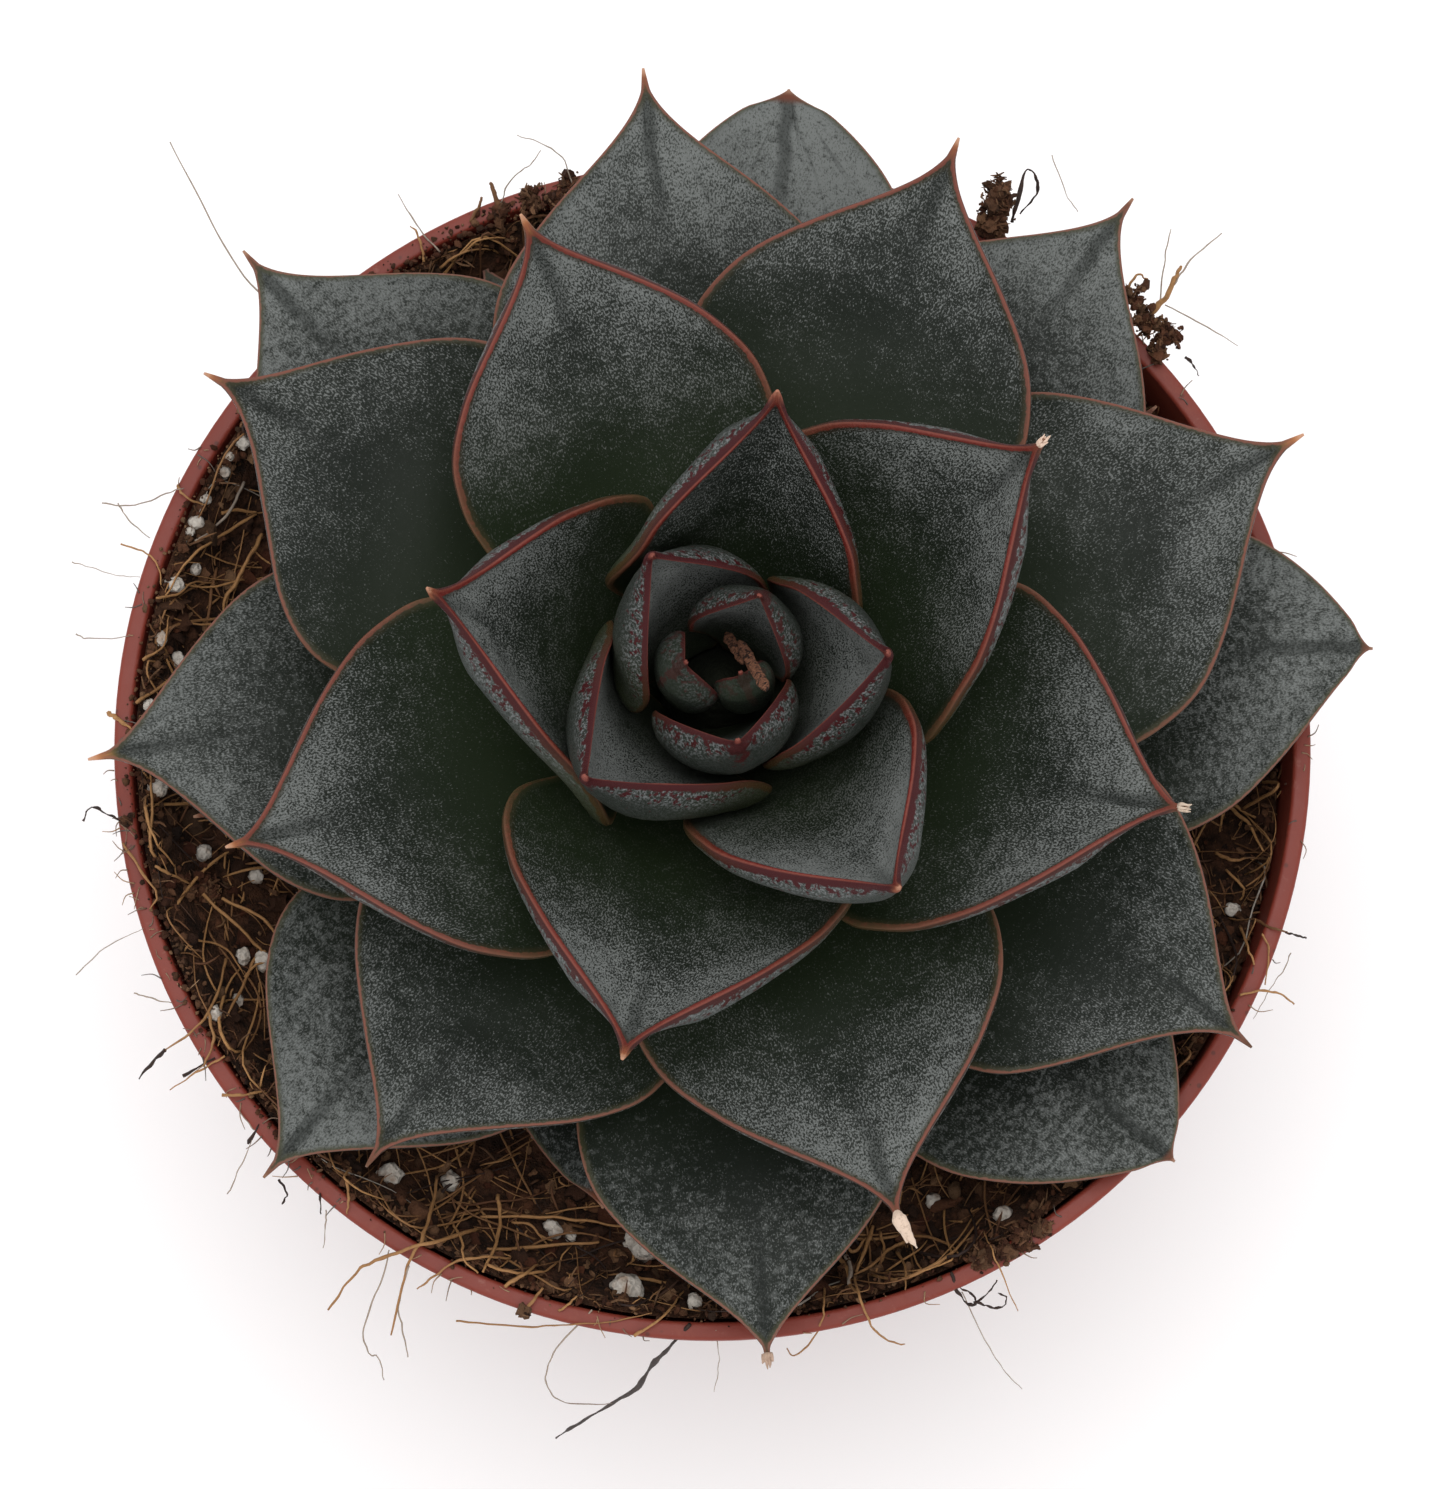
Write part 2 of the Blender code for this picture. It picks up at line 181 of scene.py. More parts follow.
# From the youngest leaf to the oldest: leaf number, tip height over the rim (mm), slopes at the base and the
# tip, half width (mm), fold and thickness (mm). Leaves between the rows take values between them.
STAGES = (
    (1, 36, 64, 108, 2.7, 46, 1.7),
    (3, 39, 76, 95, 6.0, 50, 2.1),
    (5, 42, 73, 94, 9.4, 52, 2.5),
    (7, 42, 65, 86, 12.1, 52, 3.0),
    (9, 44, 54, 76, 14.5, 40, 3.2),
    (11, 40, 44, 62, 16.0, 30, 3.5),
    (14, 32, 32, 42, 17.0, 18, 3.6),
    (18, 22, 20, 26, 16.3, 12, 3.4),
    (22, 14, 11, 14, 15.5, 10, 3.2),
    (26, 8, 4, 8, 14.8, 8, 3.0),
    (30, 3.5, 0, 6, 13.8, 7, 2.8),
    (31, -2.5, -3, 4, 13.0, 5, 2.4),
    (34, -4, -3, 4, 12.5, 5, 2.4),
)
ROLLS = {3: 6, 4: 2, 5: 17, 6: 7, 7: -3, 8: 12, 10: 9, 11: -4, 14: -6, 15: 3}
SWINGS = {5: 10, 8: 5, 9: 10, 13: 12, 15: 6, 18: 12, 20: 5, 22: -12, 23: 12, 26: -6, 27: -15, 28: 4}
HALF_WIDTHS = {
    2: 3.8, 4: 7.5, 6: 10.2, 8: 13.5, 9: 13.4, 10: 15.9, 13: 15.1, 16: 15.9, 19: 16.6, 25: 14.3, 29: 13.0,
    33: 13.8,
}
CUPS = {1: 1.0, 2: 1.0, 3: 1.0, 4: 1.0, 5: 1.0, 6: 0.85, 7: 0.75}
BLUNT_POINTS = {27: 1.1, 29: 0.8, 30: 1.0, 33: 0.8}
BROKEN_POINTS = (11, 14, 25)
BROKEN_POWER = 1.8

# How the finish changes down the spiral: leaf number, frost, red of the margin, coarseness of the frost,
# width of the margin's band (mm) and how far the leaf is a bud leaf. The bud leaves' higher frost is partly
# the frost that they have and partly painted light on faces that lie in the bud's shade.
FINISHES = (
    (1, 0.60, 0.8, 0.0, 0.25, 1.0),
    (3, 0.62, 0.9, 0.0, 0.42, 1.0),
    (5, 0.66, 1.0, 0.0, 0.6, 1.0),
    (7, 0.66, 1.0, 0.0, 0.7, 1.0),
    (9, 0.60, 1.0, 0.0, 0.7, 0.5),
    (11, 0.56, 0.9, 0.0, 0.6, 0.2),
    (14, 0.53, 0.75, 0.05, 0.5, 0.0),
    (18, 0.51, 0.35, 0.1, 0.33, 0.0),
    (22, 0.49, 0.25, 0.3, 0.26, 0.0),
    (26, 0.54, 0.05, 0.8, 0.22, 0.0),
    (34, 0.52, 0.05, 1.0, 0.22, 0.0),
)
FROST_CHANGES = {
    8: -0.26, 9: 0.05, 12: 0.06, 13: 0.05, 14: 0.05, 15: 0.02, 16: -0.07, 17: 0.05, 18: -0.08, 20: -0.05,
    21: 0.1, 22: -0.08, 24: 0.03, 25: -0.17, 27: -0.06, 29: 0.15, 30: -0.12, 33: -0.2,
}

# Coloured end of a leaf: its size, how orange it is and how dry, each from 0 to 1.
POINTS = {
    1: (0.1, 0.0, 0.0), 2: (0.1, 0.0, 0.0), 3: (0.15, 0.1, 0.0), 4: (0.2, 0.2, 0.0), 5: (0.3, 0.2, 0.0),
    6: (0.3, 0.3, 0.0), 7: (0.35, 0.4, 0.0), 8: (0.9, 0.8, 0.0), 9: (0.7, 0.5, 0.0), 10: (0.8, 0.5, 0.0),
    11: (0.7, 0.3, 0.6), 12: (0.8, 0.6, 0.0), 13: (0.9, 0.8, 0.0), 14: (0.7, 0.3, 0.5), 15: (0.8, 0.7, 0.0),
    16: (0.8, 0.5, 0.0), 17: (0.8, 0.4, 0.3), 18: (0.8, 0.7, 0.1), 19: (0.9, 0.9, 0.0), 20: (0.7, 0.2, 0.9),
    21: (0.8, 0.4, 0.1), 22: (0.7, 0.1, 1.0), 23: (1.0, 0.9, 0.0), 24: (0.7, 0.2, 0.5), 25: (0.6, 0.1, 1.0),
    26: (0.8, 0.2, 0.4), 27: (0.4, 0.1, 0.6), 28: (0.6, 0.3, 0.7), 29: (0.5, 0.1, 0.5), 30: (0.4, 0.1, 0.5),
}
OTHER_POINTS = (0.6, 0.2, 0.2)

# Loose bits: how many, and the radius that they lie within.
CRUMB_SHARP_ANGLE = 60
CRUMB_COUNT = 2250
CRUMB_REACH = 50 * MM
WALL_CRUMB_COUNT = 1100
LOOSE_PERLITE = 60
PERLITE_REACH = 49 * MM
PERLITE_HEIGHT = 80 * MM
FIBRE_COUNT = 620
FIBRE_REACH = 49.5 * MM
FIBRE_POINTS = 12
SHRED_COUNT = 2600
SHRED_REACH = 50.3 * MM
SHRED_TAPER = np.array((0.6, 1, 1, 0.9, 0.4))
HAIR_COUNT = 260
HAIRY_SIDE = 3.6
HAIRY_SPREAD = 0.8

# How far loose bits keep from the wall, and where the ground that they lie on climbs to the rim.
GRAIN_CLEARANCE = 0.4 * MM
FIBRE_CLEARANCE = 0.9 * MM
SHRED_CLEARANCE = 0.4 * MM
WALL_CRUMB_CLEARANCE = 0.85 * MM
WALL_SHRED_CLEARANCE = 0.5 * MM
CLIMB_START = RIM_RADIUS - RIM_THICKNESS - 2.2 * MM
CLIMB_LENGTH = 2 * MM
LAYING_ROUNDS = 8
LAYING_SHARE = 0.6

# Seeds of the random draws.
SKIN_SEED = 400
CRUMB_SEED = 11
PERLITE_SEED = 23
FIBRE_SEED = 37
ROOT_SEED = 53
CLUMP_SEED = 71
TIP_SEED = 91

# Grit on the rim: how many grains, azimuth and its spread, how far they lie from the edge and spread (mm).
GRIT = ((260, 2.05, 0.2, 0.2, 2.2), (640, 3.6, 0.8, 0.85, 1.7))

# Perlite grains that show in the photograph: pixels and width (mm).
PERLITE = (
    (182, 524, 1.2), (207, 508, 0.9), (194, 541, 0.8), (159, 588, 1.5), (165, 647, 1.3), (143, 713, 1.2),
    (228, 481, 1.2), (215, 433, 1.3), (219, 458, 0.9), (160, 795, 1.8), (228, 613, 1.2), (203, 852, 1.4),
    (390, 1175, 2.2), (450, 1180, 1.8), (627, 1290, 2.4), (645, 1245, 2.2), (695, 1305, 1.6),
    (262, 960, 1.7), (218, 1020, 1.3), (570, 1235, 1.1), (555, 1230, 1.3), (1235, 905, 1.2),
    (1003, 1215, 1.6),
)

# Tones of fibres: light, dark and grey, each from 0 to 1.
TAN = (0.85, 0, 0)
BROWN = (0.2, 0, 0)
DARK = (0, 1, 0)
GREY = (0.6, 0, 0.75)

# Fibres that show one by one in the photograph: tone, radius (mm), then points, each as pixels and mm above
# what they lie on.
ROOTS = (
    (TAN, 0.21, (481, 1228, 0.8), (434, 1242, 1.3), (391, 1255, 0.5), (369, 1263, -0.3), (350, 1280, -1.5),
     (328, 1310, -3)),
    (TAN, 0.19, (437, 1176, 1.2), (431, 1211, 1.6), (420, 1242, 0.9), (409, 1261, 0.2), (400, 1296, -2),
     (391, 1335, -5)),
    (GREY, 0.10, (409, 1266, 0.2), (399, 1305, -3), (403, 1330, -5), (408, 1357, -8)),
    (GREY, 0.09, (389, 1250, 0.4), (381, 1283, -2), (364, 1328, -6), (369, 1353, -8), (378, 1358, -9),
     (384, 1380, -11)),
    (TAN, 0.16, (510, 1258, 0.9), (484, 1257, 1.2), (453, 1263, 0.6), (434, 1277, 0.2), (417, 1289, -0.4)),
    (TAN, 0.22, (498, 1195, 0.8), (500, 1227, 1.8), (491, 1255, 1.4), (483, 1272, 0.4)),
    (TAN, 0.18, (480, 1217, 0.9), (525, 1216, 1.6), (575, 1219, 1.8), (612, 1225, 1.5), (652, 1231, 0.6)),
    (TAN, 0.22, (487, 1249, 0.7), (537, 1247, 1.7), (599, 1242, 1.2)),
    (TAN, 0.15, (512, 1222, 0.9), (531, 1225, 1.5), (549, 1247, 0.6)),
    (TAN, 0.15, (453, 1224, 0.8), (462, 1242, 1.3), (464, 1258, 0.9), (478, 1273, 0.4)),
    (TAN, 0.18, (487, 1264, 0.6), (512, 1272, 1.2), (544, 1271, 1.2), (559, 1262, 0.5)),
    (TAN, 0.2, (505, 1287, 0.3), (525, 1274, 1.2), (538, 1264, 0.6)),
    (TAN, 0.22, (524, 1311, 0.3), (533, 1301, 0.8), (543, 1288, 0.6)),
    (TAN, 0.14, (559, 1311, 0.2), (568, 1305, 0.5), (578, 1295, 0.5)),
    (TAN, 0.15, (634, 1336, 0.2), (662, 1317, 0.6), (685, 1290, 0.8)),
    (TAN, 0.2, (634, 1277, 0.5), (660, 1282, 1.0), (689, 1288, 0.8)),
    (TAN, 0.1, (456, 1321, -0.6), (487, 1324, -0.3), (531, 1327, 0.2), (566, 1324, 0.2), (612, 1321, 0.2),
     (652, 1313, 0.3)),
    (GREY, 0.09, (592, 1310, 0.3), (562, 1342, -3), (547, 1367, -9), (548, 1388, -16), (566, 1403, -22),
     (612, 1403, -26)),
    (DARK, 0.24, (690, 1324, 0.3), (673, 1343, -1.5), (653, 1364, -9), (636, 1389, -18), (612, 1403, -27),
     (575, 1425, -42), (556, 1438, -50)),
    (TAN, 0.16, (347, 1180, 0.8), (349, 1198, 0.9), (347, 1214, 0.3)),
    (DARK, 0.14, (320, 1193, 0.1), (321, 1214, -1.2)),
    (GREY, 0.08, (326, 1210, -0.1), (325, 1228, -2), (323, 1248, -4)),
    (GREY, 0.09, (102, 503, 0.3), (135, 505, 0.7), (170, 492, 0.6), (184, 488, 0.5)),
    (TAN, 0.14, (178, 485, 0.2), (185, 497, 0.8), (206, 505, 0.7)),
    (GREY, 0.09, (118, 503, 0.4), (129, 520, 0.8), (150, 538, 0.5)),
    (TAN, 0.12, (121, 544, -0.2), (143, 552, 0.3), (157, 563, 0.7), (161, 585, 0.5)),
    (GREY, 0.06, (72, 562, 0.5), (88, 566, 0.8), (116, 575, 0.5), (140, 577, 0.3)),
    (GREY, 0.07, (76, 634, -0.5), (91, 639, -0.3), (130, 636, 0.1)),
    (TAN, 0.17, (256, 514, 0.8), (227, 532, 1.7), (199, 551, 1.7), (179, 573, 1.2), (165, 598, 0.5)),
    (TAN, 0.2, (222, 513, 0.9), (236, 510, 1.4), (256, 512, 1.0)),
    (TAN, 0.23, (262, 534, 0.9), (249, 559, 1.9), (235, 582, 1.8), (224, 604, 1.2), (227, 628, 0.5)),
    (BROWN, 0.22, (217, 568, 0.6), (211, 596, 1.3), (204, 648, 0.6)),
    (GREY, 0.17, (244, 482, 0.8), (232, 507, 1.7), (216, 526, 1.6), (195, 541, 0.6)),
    (TAN, 0.2, (136, 703, 0.4), (166, 682, 1.2), (198, 652, 0.7)),
    (TAN, 0.14, (143, 660, 0.6), (163, 646, 1.3), (169, 616, 0.6)),
    (TAN, 0.13, (156, 598, 0.5), (179, 594, 1.4), (193, 582, 1.5), (217, 583, 0.8)),
    (TAN, 0.26, (109, 713, -0.4), (118, 719, 0.2), (131, 729, 0.3)),
    (TAN, 0.19, (203, 894, 1.6), (234, 923, 2.2), (259, 948, 1.4), (266, 952, 1.0)),
    (TAN, 0.19, (222, 898, 1.6), (263, 919, 2.4), (280, 944, 1.6), (287, 975, 0.9)),
    (TAN, 0.2, (155, 866, 0.6), (170, 874, 1.3), (190, 884, 1.6)),
    (TAN, 0.16, (145, 807, 0.5), (155, 840, 1.3), (175, 867, 0.8)),
    (TAN, 0.15, (123, 843, 0.2), (142, 873, 0.9), (157, 894, 1.0), (150, 909, 0.5)),
    (TAN, 0.2, (258, 953, 0.7), (244, 982, 1.4), (227, 1016, 0.7)),
    (TAN, 0.17, (226, 959, 0.7), (217, 994, 1.5), (197, 1027, 0.8), (165, 1050, 0.2)),
    (DARK, 0.17, (165, 1050, 0.2), (152, 1063, -0.8), (139, 1079, -2)),
    (TAN, 0.16, (209, 1013, 0.5), (213, 1040, 1.1), (204, 1067, 0.3)),
    (TAN, 0.12, (225, 1056, 0.5), (205, 1068, 0.3), (170, 1090, -1.2)),
    (TAN, 0.14, (195, 939, 0.4), (226, 948, 1.2), (244, 975, 0.6)),
    (TAN, 0.18, (222, 1095, 0.3), (240, 1095, 0.9), (265, 1091, 0.6)),
    (DARK, 0.15, (83, 821, -0.6), (91, 807, -0.3), (105, 813, 0.1), (121, 821, 0.2)),
    (GREY, 0.06, (76, 975, -0.5), (105, 948, -0.3), (144, 928, 0.2)),
    (GREY, 0.09, (134, 993, -0.6), (152, 998, -0.2), (172, 1003, 0.2)),
    (DARK, 0.13, (183, 1076, -0.8), (215, 1058, 0.3)),
    (DARK, 0.16, (248, 1144, -0.9), (259, 1124, 0.2)),
    (GREY, 0.07, (227, 1194, -5), (240, 1168, -3), (252, 1140, -0.5)),
    (DARK, 0.13, (279, 1180, -0.2), (287, 1194, -1.2), (282, 1204, -2)),
    (GREY, 0.08, (254, 1130, -0.3), (240, 1112, 0.2)),
    (TAN, 0.23, (1221, 802, 0.8), (1247, 822, 1.7), (1264, 852, 0.7)),
    (TAN, 0.18, (1230, 803, 0.9), (1256, 818, 0.9)),
    (TAN, 0.2, (1242, 810, 0.8), (1278, 786, 1.6), (1262, 781, 1.2)),
    (TAN, 0.2, (1216, 853, 0.6), (1232, 860, 1.2), (1249, 858, 0.6)),
    (TAN, 0.17, (1226, 870, 0.5), (1244, 889, 1.1), (1240, 900, 0.5)),
    (TAN, 0.18, (1240, 926, 0.4), (1248, 948, 1.0), (1254, 965, 0.4)),
    (BROWN, 0.15, (1254, 919, 0.6), (1273, 928, 0.5), (1288, 933, 0.3)),
    (DARK, 0.14, (1286, 932, 0.3), (1296, 935, 0.1), (1306, 938, -0.4)),
    (TAN, 0.15, (1240, 995, 0.5), (1262, 991, 0.3), (1279, 994, -0.4), (1294, 1004, -1.6)),
    (TAN, 0.12, (1262, 934, 0.7), (1269, 950, 0.4), (1265, 985, 0.2)),
    (GREY, 0.06, (1291, 953, -1), (1282, 972, -0.8), (1268, 992, -0.5), (1253, 1019, -0.4)),
    (GREY, 0.12, (300, 322, 0.6), (250, 284, 0.5), (212, 222, 1.0), (170, 142, 1.6)),
    (GREY, 0.1, (440, 252, 0.4), (419, 229, 0.3), (398, 194, 0.6)),
    (GREY, 0.08, (575, 187, 0.4), (562, 158, 1.6), (545, 145, 2.0), (517, 135, 2.2)),
    (GREY, 0.07, (500, 204, 0.3), (512, 178, 1.2), (530, 165, 1.6), (541, 150, 1.9)),
    (BROWN, 0.34, (504, 214, 0.2), (496, 198, 0.8), (490, 183, 1.2)),
    (BROWN, 0.2, (470, 222, 0.2), (478, 208, 0.6), (482, 197, 0.9)),
    (TAN, 0.15, (556, 206, 0.4), (568, 192, 0.6), (588, 188, 0.5)),
    (TAN, 0.14, (424, 262, 0.3), (420, 240, 0.8), (410, 226, 0.9)),
    (TAN, 0.16, (440, 268, 0.6), (462, 252, 1.1), (490, 250, 0.8)),
    (TAN, 0.14, (452, 262, 0.8), (480, 240, 1.2), (505, 238, 0.8)),
    (TAN, 0.2, (907, 1241, 0.8), (888, 1250, 1.4), (873, 1264, 1.6), (854, 1275, 1.0)),
    (TAN, 0.14, (854, 1276, 1.0), (859, 1295, 1.0), (869, 1321, -0.3), (878, 1333, -1.6), (893, 1343, -3),
     (905, 1344, -3.6)),
    (TAN, 0.12, (823, 1283, 0.8), (824, 1305, 0.6), (821, 1324, 0.0), (809, 1345, -1.6), (794, 1355, -2.6),
     (787, 1348, -2.6)),
    (TAN, 0.2, (843, 1238, 0.8), (854, 1252, 1.6), (866, 1238, 1.2)),
    (TAN, 0.24, (873, 1226, 0.8), (864, 1252, 1.8), (856, 1272, 1.2)),
    (TAN, 0.24, (838, 1256, 1.0), (846, 1266, 1.8), (850, 1284, 1.0), (858, 1292, 0.5)),
    (TAN, 0.15, (897, 1252, 0.8), (905, 1269, 1.1), (905, 1290, 0.4)),
    (TAN, 0.2, (880, 1232, 0.8), (884, 1252, 1.4), (876, 1272, 0.8)),
    (GREY, 0.28, (846, 1256, 1.4), (851, 1268, 2.0), (849, 1284, 1.2)),
    (DARK, 0.16, (951, 1272, 0.2), (958, 1291, -0.5), (967, 1303, -0.9), (976, 1303, -1.0),
     (971, 1293, -0.7), (958, 1287, -0.4)),
    (DARK, 0.13, (974, 1303, -1.0), (988, 1293, -1.0), (997, 1280, -0.9)),
    (DARK, 0.13, (976, 1303, -1.0), (990, 1307, -1.3), (1002, 1307, -1.5), (1007, 1298, -1.4),
     (998, 1293, -1.2)),
    (TAN, 0.1, (984, 1232, 0.6), (992, 1250, 0.7), (1001, 1272, -0.4), (1018, 1311, -4)),
    (GREY, 0.07, (962, 1292, -0.8), (985, 1338, -4), (1000, 1365, -7), (1022, 1389, -10)),
    (GREY, 0.06, (716, 1330, 0), (719, 1360, -2.5), (714, 1392, -5)),
    (DARK, 0.2, (1012, 222, 0.9), (1018, 200, 2.4), (1027, 169, 3.2), (1037, 181, 2.6), (1035, 197, 1.8),
     (1020, 214, 0.9)),
    (GREY, 0.07, (1052, 155, 1.5), (1066, 194, 0.8), (1078, 212, 0.3)),
    (TAN, 0.3, (1150, 315, 0.8), (1166, 297, 1.6), (1174, 279, 2.0), (1181, 266, 2.2)),
    (GREY, 0.1, (1160, 305, 0.8), (1164, 260, 1.4), (1171, 229, 1.8)),
    (GREY, 0.1, (1174, 285, 1.8), (1190, 260, 1.8), (1222, 233, 1.6)),
    (GREY, 0.09, (1165, 305, 0.6), (1208, 327, 0.2), (1238, 346, -0.6)),
    (DARK, 0.15, (1185, 357, -0.3), (1193, 364, -0.6), (1199, 376, -1)),
    (TAN, 0.14, (1126, 290, 0.5), (1137, 275, 1.0), (1148, 279, 0.8)),
)

# Clumps of soil and coir: pixels, mm above what they lie on, spread (mm), how many lumps and how red.
CLUMPS = (
    (990, 229, 0.6, 0.9, 48, 0.6), (995, 218, 1.0, 1.3, 80, 0.6), (998, 203, 1.5, 1.3, 80, 0.5),
    (998, 190, 1.8, 1.1, 64, 0.1), (572, 185, 0.2, 1.0, 68, 0.4), (560, 200, 0.0, 0.9, 48, 0.4),
    (530, 201, -0.2, 1.2, 60, 0.5), (502, 211, 0.0, 0.8, 40, 0.4), (1133, 298, 0.9, 1.0, 48, 0.4),
    (1146, 322, 0.9, 1.1, 60, 0.4), (1164, 332, 0.9, 1.1, 56, 0.6), (1158, 350, 0.6, 0.9, 40, 0.3),
    (848, 1272, 0.7, 0.8, 44, 0.1), (980, 1260, 0.1, 0.8, 48, 0.4), (1002, 1250, 0.1, 0.8, 40, 0.5),
    (1022, 1239, 0.1, 0.9, 56, 0.4), (1042, 1228, 0.1, 0.7, 32, 0.5), (1174, 335, 0.7, 0.7, 28, 0.8),
    (524, 1313, 0.2, 0.35, 18, 0.0), (203, 888, 1.2, 1.2, 92, 0.9), (212, 894, 1.2, 0.9, 48, 0.9),
    (126, 820, 0.2, 0.4, 14, 0.0),
)

# Dried ends of leaf points: leaf number, pixels of the end, how far it lies below the point (mm), radius
# (mm) and tone, as light, dark and pink.
DRIED = (
    (11, 1053, 431, 0.1, 0.3, (0.9, 0.0, 0.5)), (14, 1188, 808, 0.2, 0.32, (0.8, 0.15, 0.0)),
    (17, 917, 1248, 0.9, 0.62, (0.85, 0.05, 0.25)), (25, 767, 1346, 0.3, 0.42, (0.5, 0.25, 0.2)),
)
PAPERY_TIP = 17
CROWN_SPIKES = 9

# Bark chip in the heart: two strands, each with its ends as pixels and height (mm), then half width (mm).
CHIP = (((726, 633, 113.2), (745, 664, 117.6), 0.42), ((739, 641, 115.6), (767, 690, 123.4), 0.44))
CHIP_ROWS = 30
CHIP_RING = 16
CHIP_THICKNESS = 0.25
CHIP_SHARP_ANGLE = 50


def srgb(red, green, blue):
    """A linear colour from screen values of 0 to 255."""
    return tuple((value / 255 / 12.92 if value < 10.3 else ((value / 255 + 0.055) / 1.055) ** 2.4)
                 for value in (red, green, blue)) + (1.0,)


class Value:
    """A number or colour that a material works out, with arithmetic by nodes."""

    def __init__(self, finish, socket):
        self.finish = finish
        self.socket = socket

    def __add__(self, other):
        return self.finish.math("ADD", self, other)

    def __sub__(self, other):
        return self.finish.math("SUBTRACT", self, other)

    def __rsub__(self, other):
        return self.finish.math("SUBTRACT", other, self)

    def __mul__(self, other):
        return self.finish.math("MULTIPLY", self, other)

    def __truediv__(self, other):
        return self.finish.math("DIVIDE", self, other)

    def __abs__(self):
        return self.finish.math("ABSOLUTE", self)

    def clamped(self):
        return self.finish.node("ShaderNodeClamp", "Result", {"Value": self})

    def step(self, low, high, end=1.0):
        """0 below low and end above high, with an eased change between."""
        given = {"Value": self, "From Min": low, "From Max": high, "To Max": end}
        return self.finish.node("ShaderNodeMapRange", "Result", given, interpolation_type="SMOOTHSTEP")

    def mixed(self, share, other):
        return self.finish.mix(share, self, other)


class Finish:
    """A material whose nodes are added by short calls."""

    def __init__(self, name, roughness, specular=0.4):
        self.material = bpy.data.materials.new(name)
        self.material.use_nodes = True
        self.tree = self.material.node_tree
        self.shader = self.tree.nodes["Principled BSDF"]
        self.shader.inputs["Roughness"].default_value = roughness
        self.shader.inputs["Specular IOR Level"].default_value = specular

    def put(self, socket, value):
        if isinstance(value, Value):
            self.tree.links.new(value.socket, socket)
        else:
            socket.default_value = value

    def node(self, kind, output, given, **settings):
        """The output of a new node whose given inputs are constants or other nodes' values."""
        made = self.tree.nodes.new(kind)
        for key, value in settings.items():
            setattr(made, key, value)
        for name, value in given.items():
            self.put(made.inputs[name], value)
        return Value(self, made.outputs[output])

    def parts(self, vector):
        """The three numbers of a vector."""
        first = self.node("ShaderNodeSeparateXYZ", 0, {0: vector})
        return [Value(self, part) for part in first.socket.node.outputs]

    def field(self, name):
        """The three numbers of a mesh attribute."""
        return self.parts(self.node("ShaderNodeAttribute", "Vector", {}, attribute_name=name))

    def math(self, operation, *values):
        return self.node("ShaderNodeMath", 0, dict(enumerate(values)), operation=operation)

    def mix(self, share, first, second):
        """A colour between two that are screen values or colours worked out by nodes."""
        first, second = [value if isinstance(value, Value) else srgb(*value) for value in (first, second)]
        return self.node("ShaderNodeMix", 2, {0: share, 6: first, 7: second}, data_type="RGBA")

    def vector(self, *values):
        return self.node("ShaderNodeCombineXYZ", 0, dict(enumerate(values)))

    def space(self, *stretch):
        """The place in millimetres, stretched along each axis where that is given."""
        place = self.node("ShaderNodeTexCoord", "Object", {})
        scale = [value / MM for value in stretch or (1, 1, 1)]
        return self.node("ShaderNodeVectorMath", 0, {0: place, 1: scale}, operation="MULTIPLY")

    def noise(self, vector, scale, detail=2.0, roughness=0.5):
        given = {"Vector": vector, "Scale": scale, "Detail": detail, "Roughness": roughness}
        return self.node("ShaderNodeTexNoise", "Fac", given)

    def cells(self, vector, scale):
        return self.node("ShaderNodeTexVoronoi", "Distance", {"Vector": vector, "Scale": scale})

    def colour(self, value):
        self.put(self.shader.inputs["Base Color"], value)

    def rough(self, value):
        self.put(self.shader.inputs["Roughness"], value)

    def bump(self, height, distance, strength):
        given = {"Strength": strength, "Distance": distance, "Height": height}
        self.put(self.shader.inputs["Normal"], self.node("ShaderNodeBump", "Normal", given))


